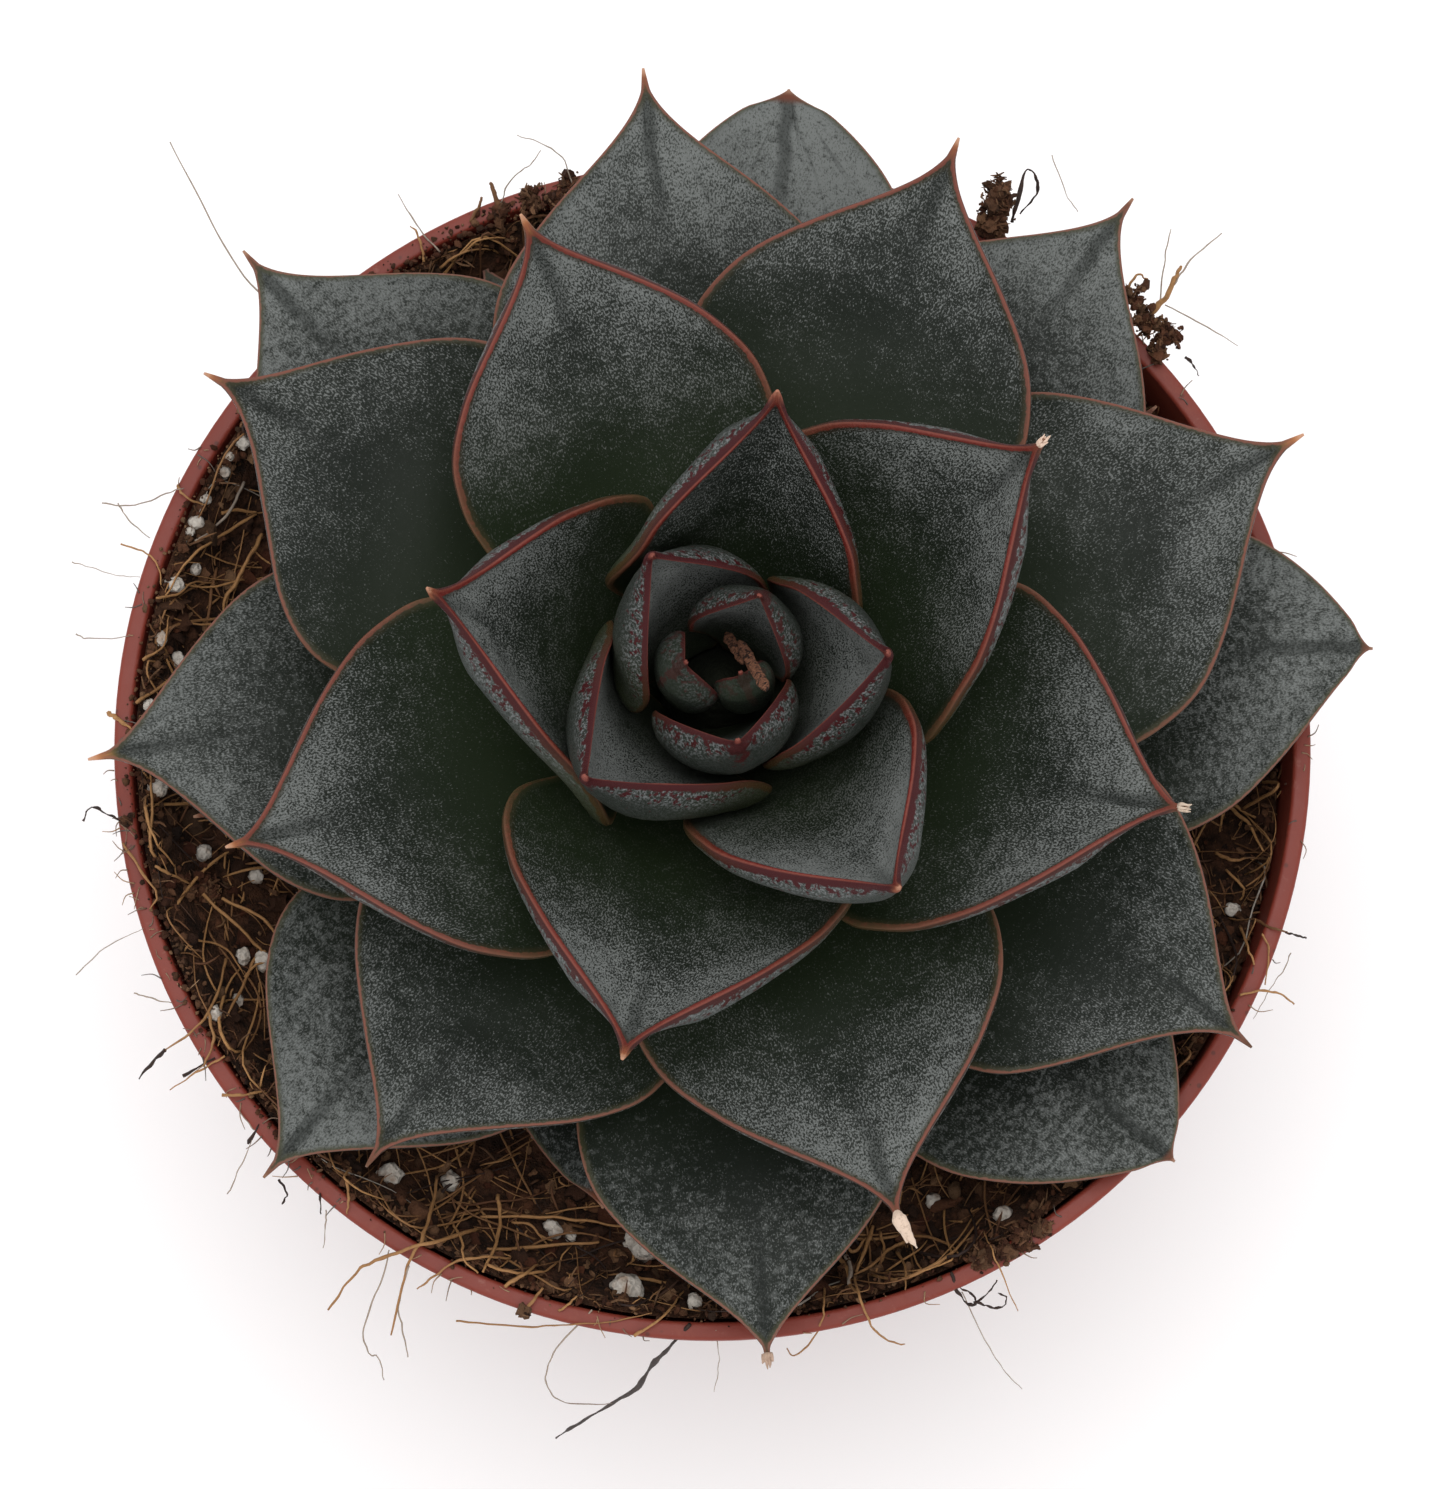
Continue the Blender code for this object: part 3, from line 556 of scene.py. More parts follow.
def leaf_finish():
    made = Finish("leaf_skin", 0.6, 0.14)
    across, along, edge = made.field("leaf_map")
    frost, olive, coarse = made.field("leaf_tone")
    red, band_width, bud = made.field("leaf_edge")
    tip, orange, dry = made.field("leaf_tip")
    zone, keel_width, bloomed = made.field("leaf_zone")
    near_tip = tip / zone
    flat = made.vector(across, along)
    space = made.space()

    # Frost: dashes that lie along the leaf, in clouds, with bare spots.
    clouds = made.noise(flat, 0.16, 3.0, 0.6)
    spots = made.noise(flat, 0.85, 3.0, 0.6)
    cover = clouds * 0.55 + frost + spots * 0.5 - 0.525
    dashes = made.noise(made.vector(across * 6.6, along * 4.0), 1.0, 3.0, 0.62)
    level = (1.0 - cover) * 0.36 + 0.31
    fine = dashes.step(level, level + 0.12)
    broad = made.noise(flat, 1.5, 4.0, 0.65).step(level - 0.04, level + 0.12)
    bright = (fine * (0.95 - coarse * 0.45) + broad * (coarse * 0.45)).clamped()
    haze = cover.step(0.2, 0.95) * (0.5 - bud * 0.15)
    dark = made.mix(olive, (21, 26, 21), (32, 42, 24)).mixed(haze, (64, 66, 63))
    pale = made.mix(olive, (111, 114, 112), (62, 66, 54))
    face = dark.mixed(bright, pale)

    # Dark midrib and a fan of faint veins that run out of the tip.
    fan = across / made.math("MAXIMUM", tip, 1.5)
    rays = made.noise(made.vector(fan * 7.0, along * 0.07), 1.0, 2.0, 0.6)
    rays = rays.step(0.56, 0.7) * tip.step(20.0, 5.0)
    wander = made.noise(made.vector(0.0, along), 0.3) * 1.2 - 0.6
    middle = abs(across + wander)
    rib = middle.step(1.0, 0.25) * tip.step(19.0, 4.0)
    lines = (rays * 0.45 + rib * 0.8).clamped() * (0.75 - bud * 0.6)
    face = face.mixed(lines, (20, 24, 21))

    # Margin: an olive line inside, a brick or tan band and a painted highlight along the rim.
    ragged = made.noise(space, 1.6, 3.0, 0.6) * 0.5 - 0.25
    from_edge = edge + ragged
    inside = from_edge.step(band_width + 0.75, band_width) * (0.85 - bud * 0.45)
    face = face.mixed(inside, made.mix(red, (58, 58, 38), (44, 34, 26)))
    brick = made.mix(red, (104, 80, 66), (100, 33, 29))
    brick = brick.mixed(bud * 0.35, (58, 18, 16)).mixed(olive * 0.85, (66, 60, 34))
    streaks = made.noise(space, 2.2, 3.0, 0.6).step(0.45, 0.75, 0.4)
    brick = brick.mixed(streaks, (122, 64, 54))
    # Painted highlight: a lighter tone on the outermost 0.3 mm of the margin, where the rounded edge catches
    # the light.
    lit = made.mix(olive, (130, 78, 66), (80, 72, 42))
    rim = brick.mixed(edge.step(0.3, 0.02, 0.5), lit)
    face = face.mixed(from_edge.step(band_width + 0.08, band_width - 0.08), rim)

    # Back: grey-green bloom over maroon, bare in mottles near the margin and the keel, olive at the base.
    near = edge.step(-3.8, -0.9)
    keel = middle.step(keel_width, 0.1) * tip.step(9.0, 2.0)
    bare = near * -0.15 + 0.66 + keel * -0.3 + olive * 0.12
    mottles = made.noise(space, 1.5, 4.0, 0.65).step(bare, bare + 0.05)
    flakes = made.noise(space, 4.5, 3.0, 0.65).step(0.44, 0.62) * (near * 0.62 + 0.12)
    pits = made.noise(space, 3.1, 3.0, 0.65).step(0.5, 0.64, 0.6)
    bloom = made.mix(made.noise(space, 0.35), (56, 61, 57), (86, 90, 88))
    bloom = bloom.mixed(bud * 0.85, (30, 35, 29)).mixed(flakes * bloomed, (120, 122, 123))
    bloom = bloom.mixed(pits, (34, 38, 33)).mixed(olive * 0.85, (48, 54, 30))
    bloom = made.mix(bloomed, (36, 44, 30), bloom)
    maroon = made.mix(red, (62, 54, 42), (58, 20, 22))
    back = bloom.mixed(mottles * bloomed, maroon)
    line = (edge + ragged * 1.6) / band_width
    back = back.mixed(line.step(-1.1, -0.8), maroon.mixed(olive, (64, 50, 28)))
    leaf = back.mixed(edge.step(-0.12, 0.08), face)

    # Point: yellow-orange and cream, or brown and dry.
    yellow = made.mix(near_tip.step(1.4, 2.6), (176, 116, 72), (112, 96, 48)).mixed(bud, (150, 86, 76))
    point = made.mix(orange, (96, 42, 36), yellow)
    point = point.mixed(near_tip.step(1.2, 0.2) * (0.75 - bud * 0.7), (192, 150, 124))
    point = point.mixed(dry, (92, 62, 46))
    on_rim = abs(edge).step(0.45, 0.1) * near_tip.step(0.6, 1.6)
    leaf = leaf.mixed(near_tip.step(3.0, 1.4) * (1.0 - on_rim * 0.7), point)
    made.colour(leaf)
    made.rough(bright * 0.18 + 0.46 - edge.step(0.9, 0.3, 0.1))
    made.bump(bright + spots * 1.5, 0.03 * MM, 0.5)
    return made.material


def pot_finish():
    made = Finish("pot_plastic", 0.55, 0.3)
    dust = made.noise(made.space(), 0.5, 6.0, 0.7)
    scuffs = made.noise(made.space(0.9, 0.9, 5.0), 0.7, 4.0, 0.7)
    specks = made.cells(made.space(), 0.55)
    base = made.mix(made.noise(made.space(), 0.06, 4.0, 0.6), (106, 40, 30), (128, 54, 41))
    base = base.mixed(dust.step(0.52, 0.75, 0.35), (134, 74, 60))
    base = base.mixed(scuffs.step(0.62, 0.72, 0.3), (148, 100, 88))
    made.colour(base.mixed(specks.step(0.16, 0.08, 0.6), (66, 36, 28)))
    made.rough(dust * 0.25 + 0.36)
    made.bump(dust + scuffs, 0.08 * MM, 0.5)
    return made.material


def soil_finish():
    made = Finish("soil_peat", 0.95, 0.2)
    lumps = made.noise(made.space(), 0.45, 6.0, 0.7)
    specks = made.noise(made.space(), 2.2, 3.0, 0.6)
    base = made.mix(lumps.step(0.35, 0.68), (30, 19, 13), (76, 49, 34))
    made.colour(base.mixed(specks.step(0.62, 0.72, 0.7), (110, 76, 48)))
    made.bump(lumps + specks, 0.6 * MM, 0.9)
    return made.material


def crumb_finish():
    made = Finish("soil_crumb", 0.95, 0.2)
    tone, red, light = made.field("bit_tone")
    grain = made.noise(made.space(), 1.8, 5.0, 0.7)
    base = made.mix(tone, (30, 19, 14), (90, 57, 39))
    base = base.mixed(red * 0.6, (72, 37, 23)).mixed(light * 0.8, (136, 104, 76))
    made.colour(base.mixed(grain.step(0.5, 0.7, 0.4), (20, 13, 9)))
    made.bump(grain, 0.4 * MM, 0.9)
    return made.material


def fibre_finish():
    made = Finish("coir_fibre", 0.7, 0.3)
    tone, dark, grey = made.field("bit_tone")
    grain = made.noise(made.space(), 2.4, 4.0, 0.7)
    base = made.mix(tone, (84, 52, 32), (164, 121, 76))
    base = base.mixed(dark, (40, 28, 24)).mixed(grey, (150, 142, 132))
    made.colour(base.mixed(grain.step(0.45, 0.75, 0.45), (78, 46, 26)))
    made.bump(grain, 0.1 * MM, 0.6)
    return made.material


def perlite_finish():
    made = Finish("perlite_grain", 0.85, 0.3)
    pores = made.cells(made.space(), 2.2)
    stain = made.noise(made.space(), 0.7, 4.0, 0.6)
    base = made.mix(stain.step(0.45, 0.75), (190, 182, 172), (160, 138, 120))
    made.colour(base.mixed(pores.step(0.2, 0.05, 0.6), (150, 130, 116)))
    made.bump(pores + stain, 0.3 * MM, 0.8)
    return made.material


def dry_finish():
    made = Finish("dried_tip", 0.75, 0.3)
    tone, dark, pink = made.field("bit_tone")
    grain = made.noise(made.space(), 3.0, 4.0, 0.7)
    base = made.mix(tone, (140, 100, 74), (222, 204, 184))
    base = base.mixed(dark, (74, 46, 34)).mixed(pink * 0.6, (206, 158, 142))
    made.colour(base.mixed(grain.step(0.5, 0.7, 0.4), (96, 64, 48)))
    made.bump(grain, 0.1 * MM, 0.7)
    return made.material


def stem_finish():
    made = Finish("stem_bark", 0.85, 0.25)
    rings = made.noise(made.space(0.5, 0.5, 2.4), 1.0, 5.0, 0.65)
    flakes = made.noise(made.space(), 1.4, 3.0, 0.6)
    height = made.parts(made.space())[2]
    base = made.mix(rings.step(0.35, 0.65), (70, 52, 34), (124, 104, 74))
    base = base.mixed(flakes.step(0.55, 0.7, 0.5), (50, 34, 24))
    made.colour(base.mixed(height.step(92.0, 98.0), (24, 27, 16)))
    made.bump(rings + flakes, 0.4 * MM, 0.8)
    return made.material


def bark_finish():
    made = Finish("bark_chip", 0.85, 0.25)
    along, across = made.field("bit_tone")[:2]
    grain = made.noise(made.vector(along * 6.0, across * 1.3), 1.0, 4.0, 0.7)
    cracks = made.noise(made.space(), 1.9, 3.0, 0.7)
    base = made.mix(grain.step(0.35, 0.65), (76, 46, 34), (138, 94, 70))
    made.colour(base.mixed(cracks.step(0.52, 0.58), (40, 24, 18)))
    made.bump(grain + cracks, 0.3 * MM, 0.9)
    return made.material


def floor_finish():
    made = Finish("pale_floor", 0.9, 0.1)
    made.colour(made.mix(made.noise(made.space(), 0.003), (246, 246, 247), (248, 248, 248)))
    return made.material


def linked(name, data):
    """A new object in the scene."""
    made = bpy.data.objects.new(name, data)
    bpy.context.scene.collection.objects.link(made)
    return made


def add_piece(name, points, faces, material, fields, replaces=(), angle=None):
    """A mesh piece that rides on the body, with vector fields for its material."""
    mesh = bpy.data.meshes.new(name)
    mesh.from_pydata(np.asarray(points).tolist(), [], faces)
    for field, values in fields.items():
        attribute = mesh.attributes.new(field, "FLOAT_VECTOR", "POINT")
        attribute.data.foreach_set("vector", np.asarray(values, np.float32).ravel())
    mesh.shade_smooth()
    if angle:
        mesh.set_sharp_from_angle(angle=math.radians(angle))
    mesh.materials.append(material)
    piece = linked(name, mesh)
    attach(piece, BODY)
    if replaces:
        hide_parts(*replaces)
    return piece


def turns(steps):
    """Angles all the way round."""
    return np.linspace(0, FULL_TURN, steps, endpoint=False)


def ring_faces(rows, ring):
    """Quads that join rows of ring points, each row closed."""
    row = np.arange(rows - 1)[:, None] * ring
    first = np.arange(ring)[None]
    second = (first + 1) % ring
    corners = (row + first, row + second, row + ring + second, row + ring + first)
    return np.stack(corners, -1).reshape(-1, 4).tolist()


def cap_faces(ring, start, centre, reverse):
    """Triangles from a row of ring points to its centre point."""
    pairs = [(start + k, start + (k + 1) % ring) for k in range(ring)]
    return [(b, a, centre) if reverse else (a, b, centre) for a, b in pairs]


def closed_faces(rows, ring):
    """Faces of rows of ring points whose two centre points follow them, the first row's one first."""
    last = rows * ring
    faces = ring_faces(rows, ring) + cap_faces(ring, 0, last, True)
    return faces + cap_faces(ring, last - ring, last + 1, False)


class Bits:
    """Many small closed shapes gathered into one mesh."""

    def __init__(self):
        self.points = []
        self.faces = []
        self.tones = []
        self.count = 0

    def add(self, points, faces, tone):
        """A shape with one tone, or with a tone for each point."""
        self.points.append(points)
        self.faces.extend([tuple(index + self.count for index in face) for face in faces])
        self.tones.append(np.broadcast_to(np.asarray(tone, float), (len(points), 3)))
        self.count += len(points)

    def piece(self, name, material, slot, angle=None):
        fields = {"bit_tone": np.concatenate(self.tones)}
        add_piece(name, np.concatenate(self.points), self.faces, material, fields, angle=angle)


def tube(bits, path, radii, tone, sides=5):
    """A closed tube along a path, with a radius for each point."""
    along = unit(np.gradient(path, axis=0))
    side = unit(np.cross(along[0], (0.31, 0.17, 0.93)))
    turn = turns(sides)[:, None]
    rows = []
    for place, heading, radius in zip(path, along, radii):
        side = unit(side - side.dot(heading) * heading)
        rows.append(place + radius * (np.cos(turn) * side + np.sin(turn) * np.cross(heading, side)))
    points = np.concatenate(rows + [path[:1], path[-1:]])
    bits.add(points, closed_faces(len(path), sides), tone)


def ball(steps):
    """Points and faces of a unit icosphere."""
    shape = bmesh.new()
    bmesh.ops.create_icosphere(shape, subdivisions=steps, radius=1.0)
    points = np.array([vertex.co for vertex in shape.verts])
    faces = [tuple(vertex.index for vertex in face.verts) for face in shape.faces]
    shape.free()
    return points, faces


def shard(draw, points, low, high, rough):
    """A lump with random proportions and a rough skin, turned at random."""
    lump = points * draw.uniform(low, high, 3) * (1 + draw.uniform(-rough, rough, (len(points), 1)))
    matrix, upper = np.linalg.qr(draw.normal(size=(3, 3)))
    matrix *= np.sign(np.diag(upper))
    return lump @ (matrix * np.sign(np.linalg.det(matrix))).T


def curve(points, steps=7):
    """A smooth path through the points."""
    points = np.asarray(points, float)
    ends = np.concatenate([2 * points[:1] - points[1:2], points, 2 * points[-1:] - points[-2:-1]])
    t = np.linspace(0, 1, steps, endpoint=False)[:, None]
    path = []
    for a, b, c, d in zip(ends, ends[1:], ends[2:], ends[3:]):
        path.append(b + 0.5 * t * (c - a + t * (2 * a - 5 * b + 4 * c - d + t * (3 * (b - c) + d - a))))
    return np.concatenate(path + [points[-1:]])


def bent(draw, start, end, bend):
    """A short path from start to end with a random bend (mm)."""
    return curve([start, (start + end) / 2 + draw.normal(0, bend, 3) * MM, end], 2)


def smoothed(values, times):
    for _ in range(times):
        values[1:-1] = (values[:-2] + 2 * values[1:-1] + values[2:]) / 4
    return values


def unit(vectors):
    return vectors / np.linalg.norm(vectors, axis=-1, keepdims=True)


def ease(x):
    x = np.clip(x, 0.0, 1.0)
    return x * x * (3 - 2 * x)


def rise(x, start, length):
    """0 up to start and 1 from start + length on, with an eased change between."""
    return ease((x - start) / length)


def direction(azimuth, slope):
    turn, tilt = math.radians(azimuth), math.radians(slope)
    return np.array((*polar(math.cos(tilt), turn), math.sin(tilt)))


def polar(radius, turn):
    return radius * math.cos(turn), radius * math.sin(turn)


def kept_within(x, y, most):
    """The place, drawn in to the radius most where it lies further out."""
    scale = min(1.0, most / math.hypot(x, y))
    return x * scale, y * scale


def camera_axes():
    back = direction(-90, CAMERA_ELEVATION)
    right = np.array((1.0, 0, 0))
    return right, np.cross(back, right), back


def photo_point(x, y, height):
    """The point at a height that shows at a pixel of the photograph."""
    right, up, back = camera_axes()
    eye = CAMERA_AIM + back * CAMERA_DISTANCE
    focal = LENS / SENSOR * PHOTO_HEIGHT
    ray = right * (x - PHOTO_WIDTH / 2) / focal + up * (PHOTO_HEIGHT / 2 - y) / focal - back
    return eye + ray * (height - eye[2]) / ray[2]


def wall_radius(height):
    top_height = POT_HEIGHT - COLLAR_HEIGHT
    top_radius = RIM_RADIUS - COLLAR_TAPER - COLLAR_STEP
    return BASE_RADIUS + (top_radius - BASE_RADIUS) * height / top_height


def collar_inside(height):
    below_rim = (POT_HEIGHT - height) / COLLAR_HEIGHT
    return RIM_RADIUS - RIM_THICKNESS - COLLAR_TAPER * below_rim


def soil_level(x, y):
    """Height of the soil's top: a shallow bowl, higher on the -X side, with low clods."""
    share = min(1.0, math.hypot(x, y) / RIM_RADIUS)
    depth = SOIL_DEPTH_CENTRE + (SOIL_DEPTH_EDGE - SOIL_DEPTH_CENTRE) * share ** SOIL_EDGE_RISE
    clods = SOIL_RELIEF * share * noise.noise(Vector((x, y, 0)) / SOIL_CLOD)
    return POT_HEIGHT - depth - SOIL_TILT * x / RIM_RADIUS + clods


def crumbled(x, y):
    """Height of the soil's top with its crumbs and banks."""
    rough = 0.0
    for (size, part), shift in zip(CRUMB_SIZES, CRUMB_SHIFTS):
        rough += part * noise.noise(Vector((x, y, 0)) / size + Vector(shift))
    bank = 0.0
    for azimuth, reach, fade, share in BANKS:
        turn = abs(math.remainder(math.atan2(y, x) - azimuth, FULL_TURN))
        bank = max(bank, share * float(ease((reach - turn) / fade)))
    bank *= float(rise(math.hypot(x, y), BANK_START, BANK_WIDTH))
    level = soil_level(x, y)
    return level + BANK_HEIGHT * bank * (POT_HEIGHT - level) + CRUMB_RELIEF * rough * (1 - 0.4 * bank)


def resting_height(x, y):
    """Height that a fibre lies at: on the soil, or on the rim where it crosses it."""
    climb = float(rise(math.hypot(x, y), CLIMB_START, CLIMB_LENGTH))
    return POT_HEIGHT if climb == 1 else (1 - climb) * crumbled(x, y) + climb * POT_HEIGHT


def laid(x, y, lift):
    """The point that shows at a pixel of the photograph, lift mm above the soil or the rim's height."""
    height = POT_HEIGHT
    for _ in range(LAYING_ROUNDS):
        place = photo_point(x, y, height)
        height += LAYING_SHARE * (resting_height(place[0], place[1]) + lift * MM - height)
    return np.array((place[0], place[1], height))


def stem_radius(height):
    below_top = min(STEM_APEX_LENGTH, max(0.0, STEM_TOP - height))
    return STEM_RADIUS * math.sin(math.pi / 2 * (below_top / STEM_APEX_LENGTH) ** STEM_APEX_POWER)


def between(table, number):
    """A leaf's values, taken between the rows of a table."""
    for low, high in zip(table, table[1:]):
        if number <= high[0]:
            share = (number - low[0]) / (high[0] - low[0])
            return [a + (b - a) * share for a, b in zip(low[1:], high[1:])]


class Leaf:
    """One leaf, by the same formulas as the CAD solid, worked out for many points at once."""

    def __init__(self, number):
        turn, reach = LEAF_TIPS[number - 1]
        tip_height, base_slope, tip_slope, half_width, fold, thickness = between(STAGES, number)
        base_azimuth = FIRST_AZIMUTH - GOLDEN_ANGLE * (number - 1)
        base_height = TOP_LEAF_HEIGHT - LEAF_SPACING * (number - 1)
        axis = np.array((PLANT_X, PLANT_Y, POT_HEIGHT))
        start = stem_radius(base_height) + GAP
        broken = number in BROKEN_POINTS
        self.number = number
        self.base = axis + start * direction(base_azimuth, 0) + (0, 0, base_height)
        self.tip = axis + reach * MM * direction(base_azimuth + turn, 0) + (0, 0, tip_height * MM)
        chord = self.tip - self.base
        heading = math.degrees(math.atan2(chord[1], chord[0]))
        length = np.linalg.norm(chord)
        self.base_handle = self.base + length / 3 * direction(base_azimuth, base_slope)
        self.tip_handle = self.tip - length / 3 * direction(heading + SWINGS.get(number, 0), tip_slope)
        self.sideways = direction(heading + 90, 0)
        self.half_width = HALF_WIDTHS.get(number, half_width) * MM
        self.fold = math.radians(fold)
        self.cup = CUPS.get(number, 0)
        self.roll = math.radians(ROLLS.get(number, 0))
        self.thickness = thickness * MM
        self.point_power = BLUNT_POINTS.get(number, BROKEN_POWER if broken else SHARP_POINT)
        self.end_share = BROKEN_END_SHARE if broken else POINT_END_SHARE
        stem_limit = BASE_STEM_SHARE * stem_radius(base_height)
        self.base_half_width = min(BASE_WIDTH_SHARE * self.half_width, stem_limit)
        self.widest = 1 - min(LONGEST_FLANK, FLANK_PER_WIDTH * self.half_width / length)

    def frame(self, t):
        a, b, c, d = self.base, self.base_handle, self.tip_handle, self.tip
        t = t[:, None]
        s = 1 - t
        place = s**3 * a + 3 * s * s * t * b + 3 * s * t * t * c + t**3 * d
        along = unit(s * s * (b - a) + 2 * s * t * (c - b) + t * t * (d - c))
        level = unit(self.sideways - (along @ self.sideways)[:, None] * along)
        upward = np.cross(along, level)
        roll = self.roll * ease(2 * t)
        across = np.cos(roll) * level + np.sin(roll) * upward
        return place, across, np.cross(along, across)

    def width(self, t):
        flare = np.sin(math.pi / 2 * np.minimum(1, t / self.widest)) ** BASE_FLARE
        wide = self.base_half_width + (self.half_width - self.base_half_width) * flare
        q = np.maximum(0, (t - self.widest) / (1 - self.widest))
        return np.maximum(POINT_RADIUS, wide * (1 - np.minimum(1, q) ** OUTLINE_BEND) ** self.point_power)

    def depth(self, t):
        swell = THIN_END_SHARE + (1 - THIN_END_SHARE) * np.sin(math.pi * np.minimum(1.0, t / THICK_SPAN))
        taper_width = (POINT_TAPER_WIDTH + CUP_TAPER_CHANGE * self.cup) * self.half_width
        taper = np.where(t > self.widest, np.minimum(1.0, self.width(t) / taper_width), 1.0)
        return np.maximum(2 * POINT_RADIUS, self.thickness * swell * taper)

    def skin(self, t, angle):
        """Points for each t (rows) and angle (columns), with the margins at 0 and pi and the face between."""
        place, across, upward = self.frame(t)
        shift = np.random.default_rng(SKIN_SEED + self.number).uniform(0, FULL_TURN, 8)
        wave = sum(part * np.sin(rate * t + start) for (rate, part), start in zip(OUTLINE_WAVES, shift))
        calm = ease(6 * (1 - t)) * ease(5 * t)
        to_tip = np.linalg.norm(place - self.tip, axis=1)
        slim = np.minimum(1, self.end_share + (1 - self.end_share) * to_tip / POINT_SLIMMING)
        width = (self.width(t) * (1 + OUTLINE_WAVE * wave * calm) * slim)[:, None]
        depth = (self.depth(t) * slim)[:, None]
        fold = self.fold * ease(FOLD_AT_BASE + FOLD_GROWTH * t)[:, None]
        side = np.cos(angle)[None]
        softness = CREASE_SOFTNESS * width * (CREASE_FOLD_LIMIT - self.fold)
        x = side * width * np.cos(fold)
        y = np.tan(fold) * (np.hypot(x, softness) - softness)
        wrap = CUP_WRAP * fold
        x = x + self.cup * (width / wrap * np.sin(wrap * side) - x)
        y = y + self.cup * (width / wrap * (1 - np.cos(wrap * side)) - y)
        lean = (fold + self.cup * (wrap - fold)) * side

        # Low swells over the face, a raised bead along the margin and a crease that runs into the point.
        inward = (1 - np.abs(side)) * width
        rows = t[:, None]
        swells = 0
        for (rate, slant, part), start in zip(SWELLS, shift[len(OUTLINE_WAVES):]):
            swells = swells + part * np.sin(rate * rows + slant * side + start)
        full = np.minimum(1, width / FULL_RELIEF_WIDTH)
        y = y + SWELL_HEIGHT * swells * full * calm[:, None] * (1 - side**4)
        bead = np.exp(-((inward - BEAD_PLACE) / BEAD_WIDTH) ** 2)
        y = y + BEAD_HEIGHT * full * (bead - 1.1 * np.exp(-(inward / BEAD_NOTCH) ** 2))
        crease = np.exp(-(x / CREASE_WIDTH) ** 2) * ease(1 - to_tip / CREASE_LENGTH)[:, None]
        y = y - CREASE_DEPTH * crease * full

        behind = np.sin(angle)[None] < -MARGIN_LIMIT
        edge_power = EDGE_ROUNDNESS + CUP_EDGE_CHANGE * self.cup
        drop = depth * (1 - np.minimum(1.0, np.abs(side)) ** BACK_BULGE) ** edge_power
        x = np.where(behind, x + drop * np.sin(lean), x)
        y = np.where(behind, y - drop * np.cos(lean), y)
        points = place[:, None] + x[..., None] * across[:, None] + y[..., None] * upward[:, None]
        return points, to_tip


def leaf_piece(number, material):
    leaf = Leaf(number)
    rows = 1 - (1 - np.linspace(0, 1, LEAF_ROWS)) ** ROW_CROWDING
    angles = turns(LEAF_RING)
    points, to_tip = leaf.skin(rows, angles)
    half = LEAF_RING // 2

    # Distances over the skin, in millimetres: from the margins, from the midrib and along the leaf.
    gaps = np.linalg.norm(points - np.roll(points, -1, axis=1), axis=2) / MM
    arcs = [np.cumsum(part, axis=1) for part in (gaps[:, :half], gaps[:, half:])]
    face, back = [np.concatenate([np.zeros((LEAF_ROWS, 1)), arc], axis=1) for arc in arcs]
    from_margin = [np.minimum(arc, arc[:, -1:] - arc)[:, :half] for arc in (face, back)]
    edge = np.concatenate([from_margin[0], -from_margin[1]], axis=1)
    from_rib = [arc[:, :half] - arc[:, -1:] / 2 for arc in (face, back)]
    across = np.concatenate([from_rib[0], -from_rib[1]], axis=1)
    middle = leaf.frame(rows)[0]
    along = np.concatenate([[0], np.cumsum(np.linalg.norm(np.diff(middle, axis=0), axis=1))]) / MM

    frost, red, coarse, band, bud = between(FINISHES, number)
    share = rows[:, None]
    side = np.cos(angles)[None]
    on_back = np.sin(angles)[None] < -MARGIN_LIMIT
    # On bud leaves the frost is raised and reaches further down the face. This is partly the frost that they
    # have and partly painted light on faces that lie in the bud's shade.
    outer = rise(share, 0.3 - 0.25 * bud, 0.65)
    frost += FROST_CHANGES.get(number, 0) - 0.3 + 0.18 * bud
    frost = frost + (0.42 - 0.18 * bud) * outer + 0.1 * side**2 * outer
    midway = rise(share, 0.2, 0.3) * (1 - rise(share, 0.6, 0.3))
    frost = frost - 0.12 * (1 - bud) * np.exp(-(side / 0.3) ** 2) * midway
    olive = 1 - np.where(on_back, rise(share, 0.3, 0.4), rise(share, 0.2 - 0.15 * bud, 0.55))
    red = red * rise(share, 0.25 - 0.1 * bud, 0.35)
    zone, orange, dry = POINTS.get(number, OTHER_POINTS)
    keel_width = min(1.3, 0.2 * leaf.half_width / MM)
    bloomed = min(1, 0.15 + 0.25 * number)

    def with_ends(grid):
        """The grid's rows, then the middles of its first and its last row."""
        return np.concatenate([grid.reshape(-1, 3), grid[0].mean(0)[None], grid[-1].mean(0)[None]])

    def field(*parts):
        return with_ends(np.stack([part + np.zeros((LEAF_ROWS, LEAF_RING)) for part in parts], -1))

    fields = {
        "leaf_map": field(across, along[:, None] + NOISE_SHIFT * number, edge),
        "leaf_tone": field(frost, olive, coarse),
        "leaf_edge": field(red, band, bud),
        "leaf_tip": field(to_tip[:, None] / MM, orange, dry),
        "leaf_zone": field(zone, keel_width, bloomed),
    }
    faces = closed_faces(LEAF_ROWS, LEAF_RING)
    node = f"leaf_{number:02d}"
    add_piece(f"skin_of_{node}", with_ends(points), faces, material, fields, (node,))


def turned(profile, steps):
    """Points and quads of a (radius, height) profile turned round Z, with both ends on the axis."""
    radius, height = np.array(profile[1:-1]).T[..., None]
    turn = turns(steps)
    rows = np.stack([radius * np.cos(turn), radius * np.sin(turn), height + 0 * turn], -1)
    points = np.concatenate([rows.reshape(-1, 3), [(0, 0, profile[0][1])], [(0, 0, profile[-1][1])]])
    return points, closed_faces(len(profile) - 2, steps)


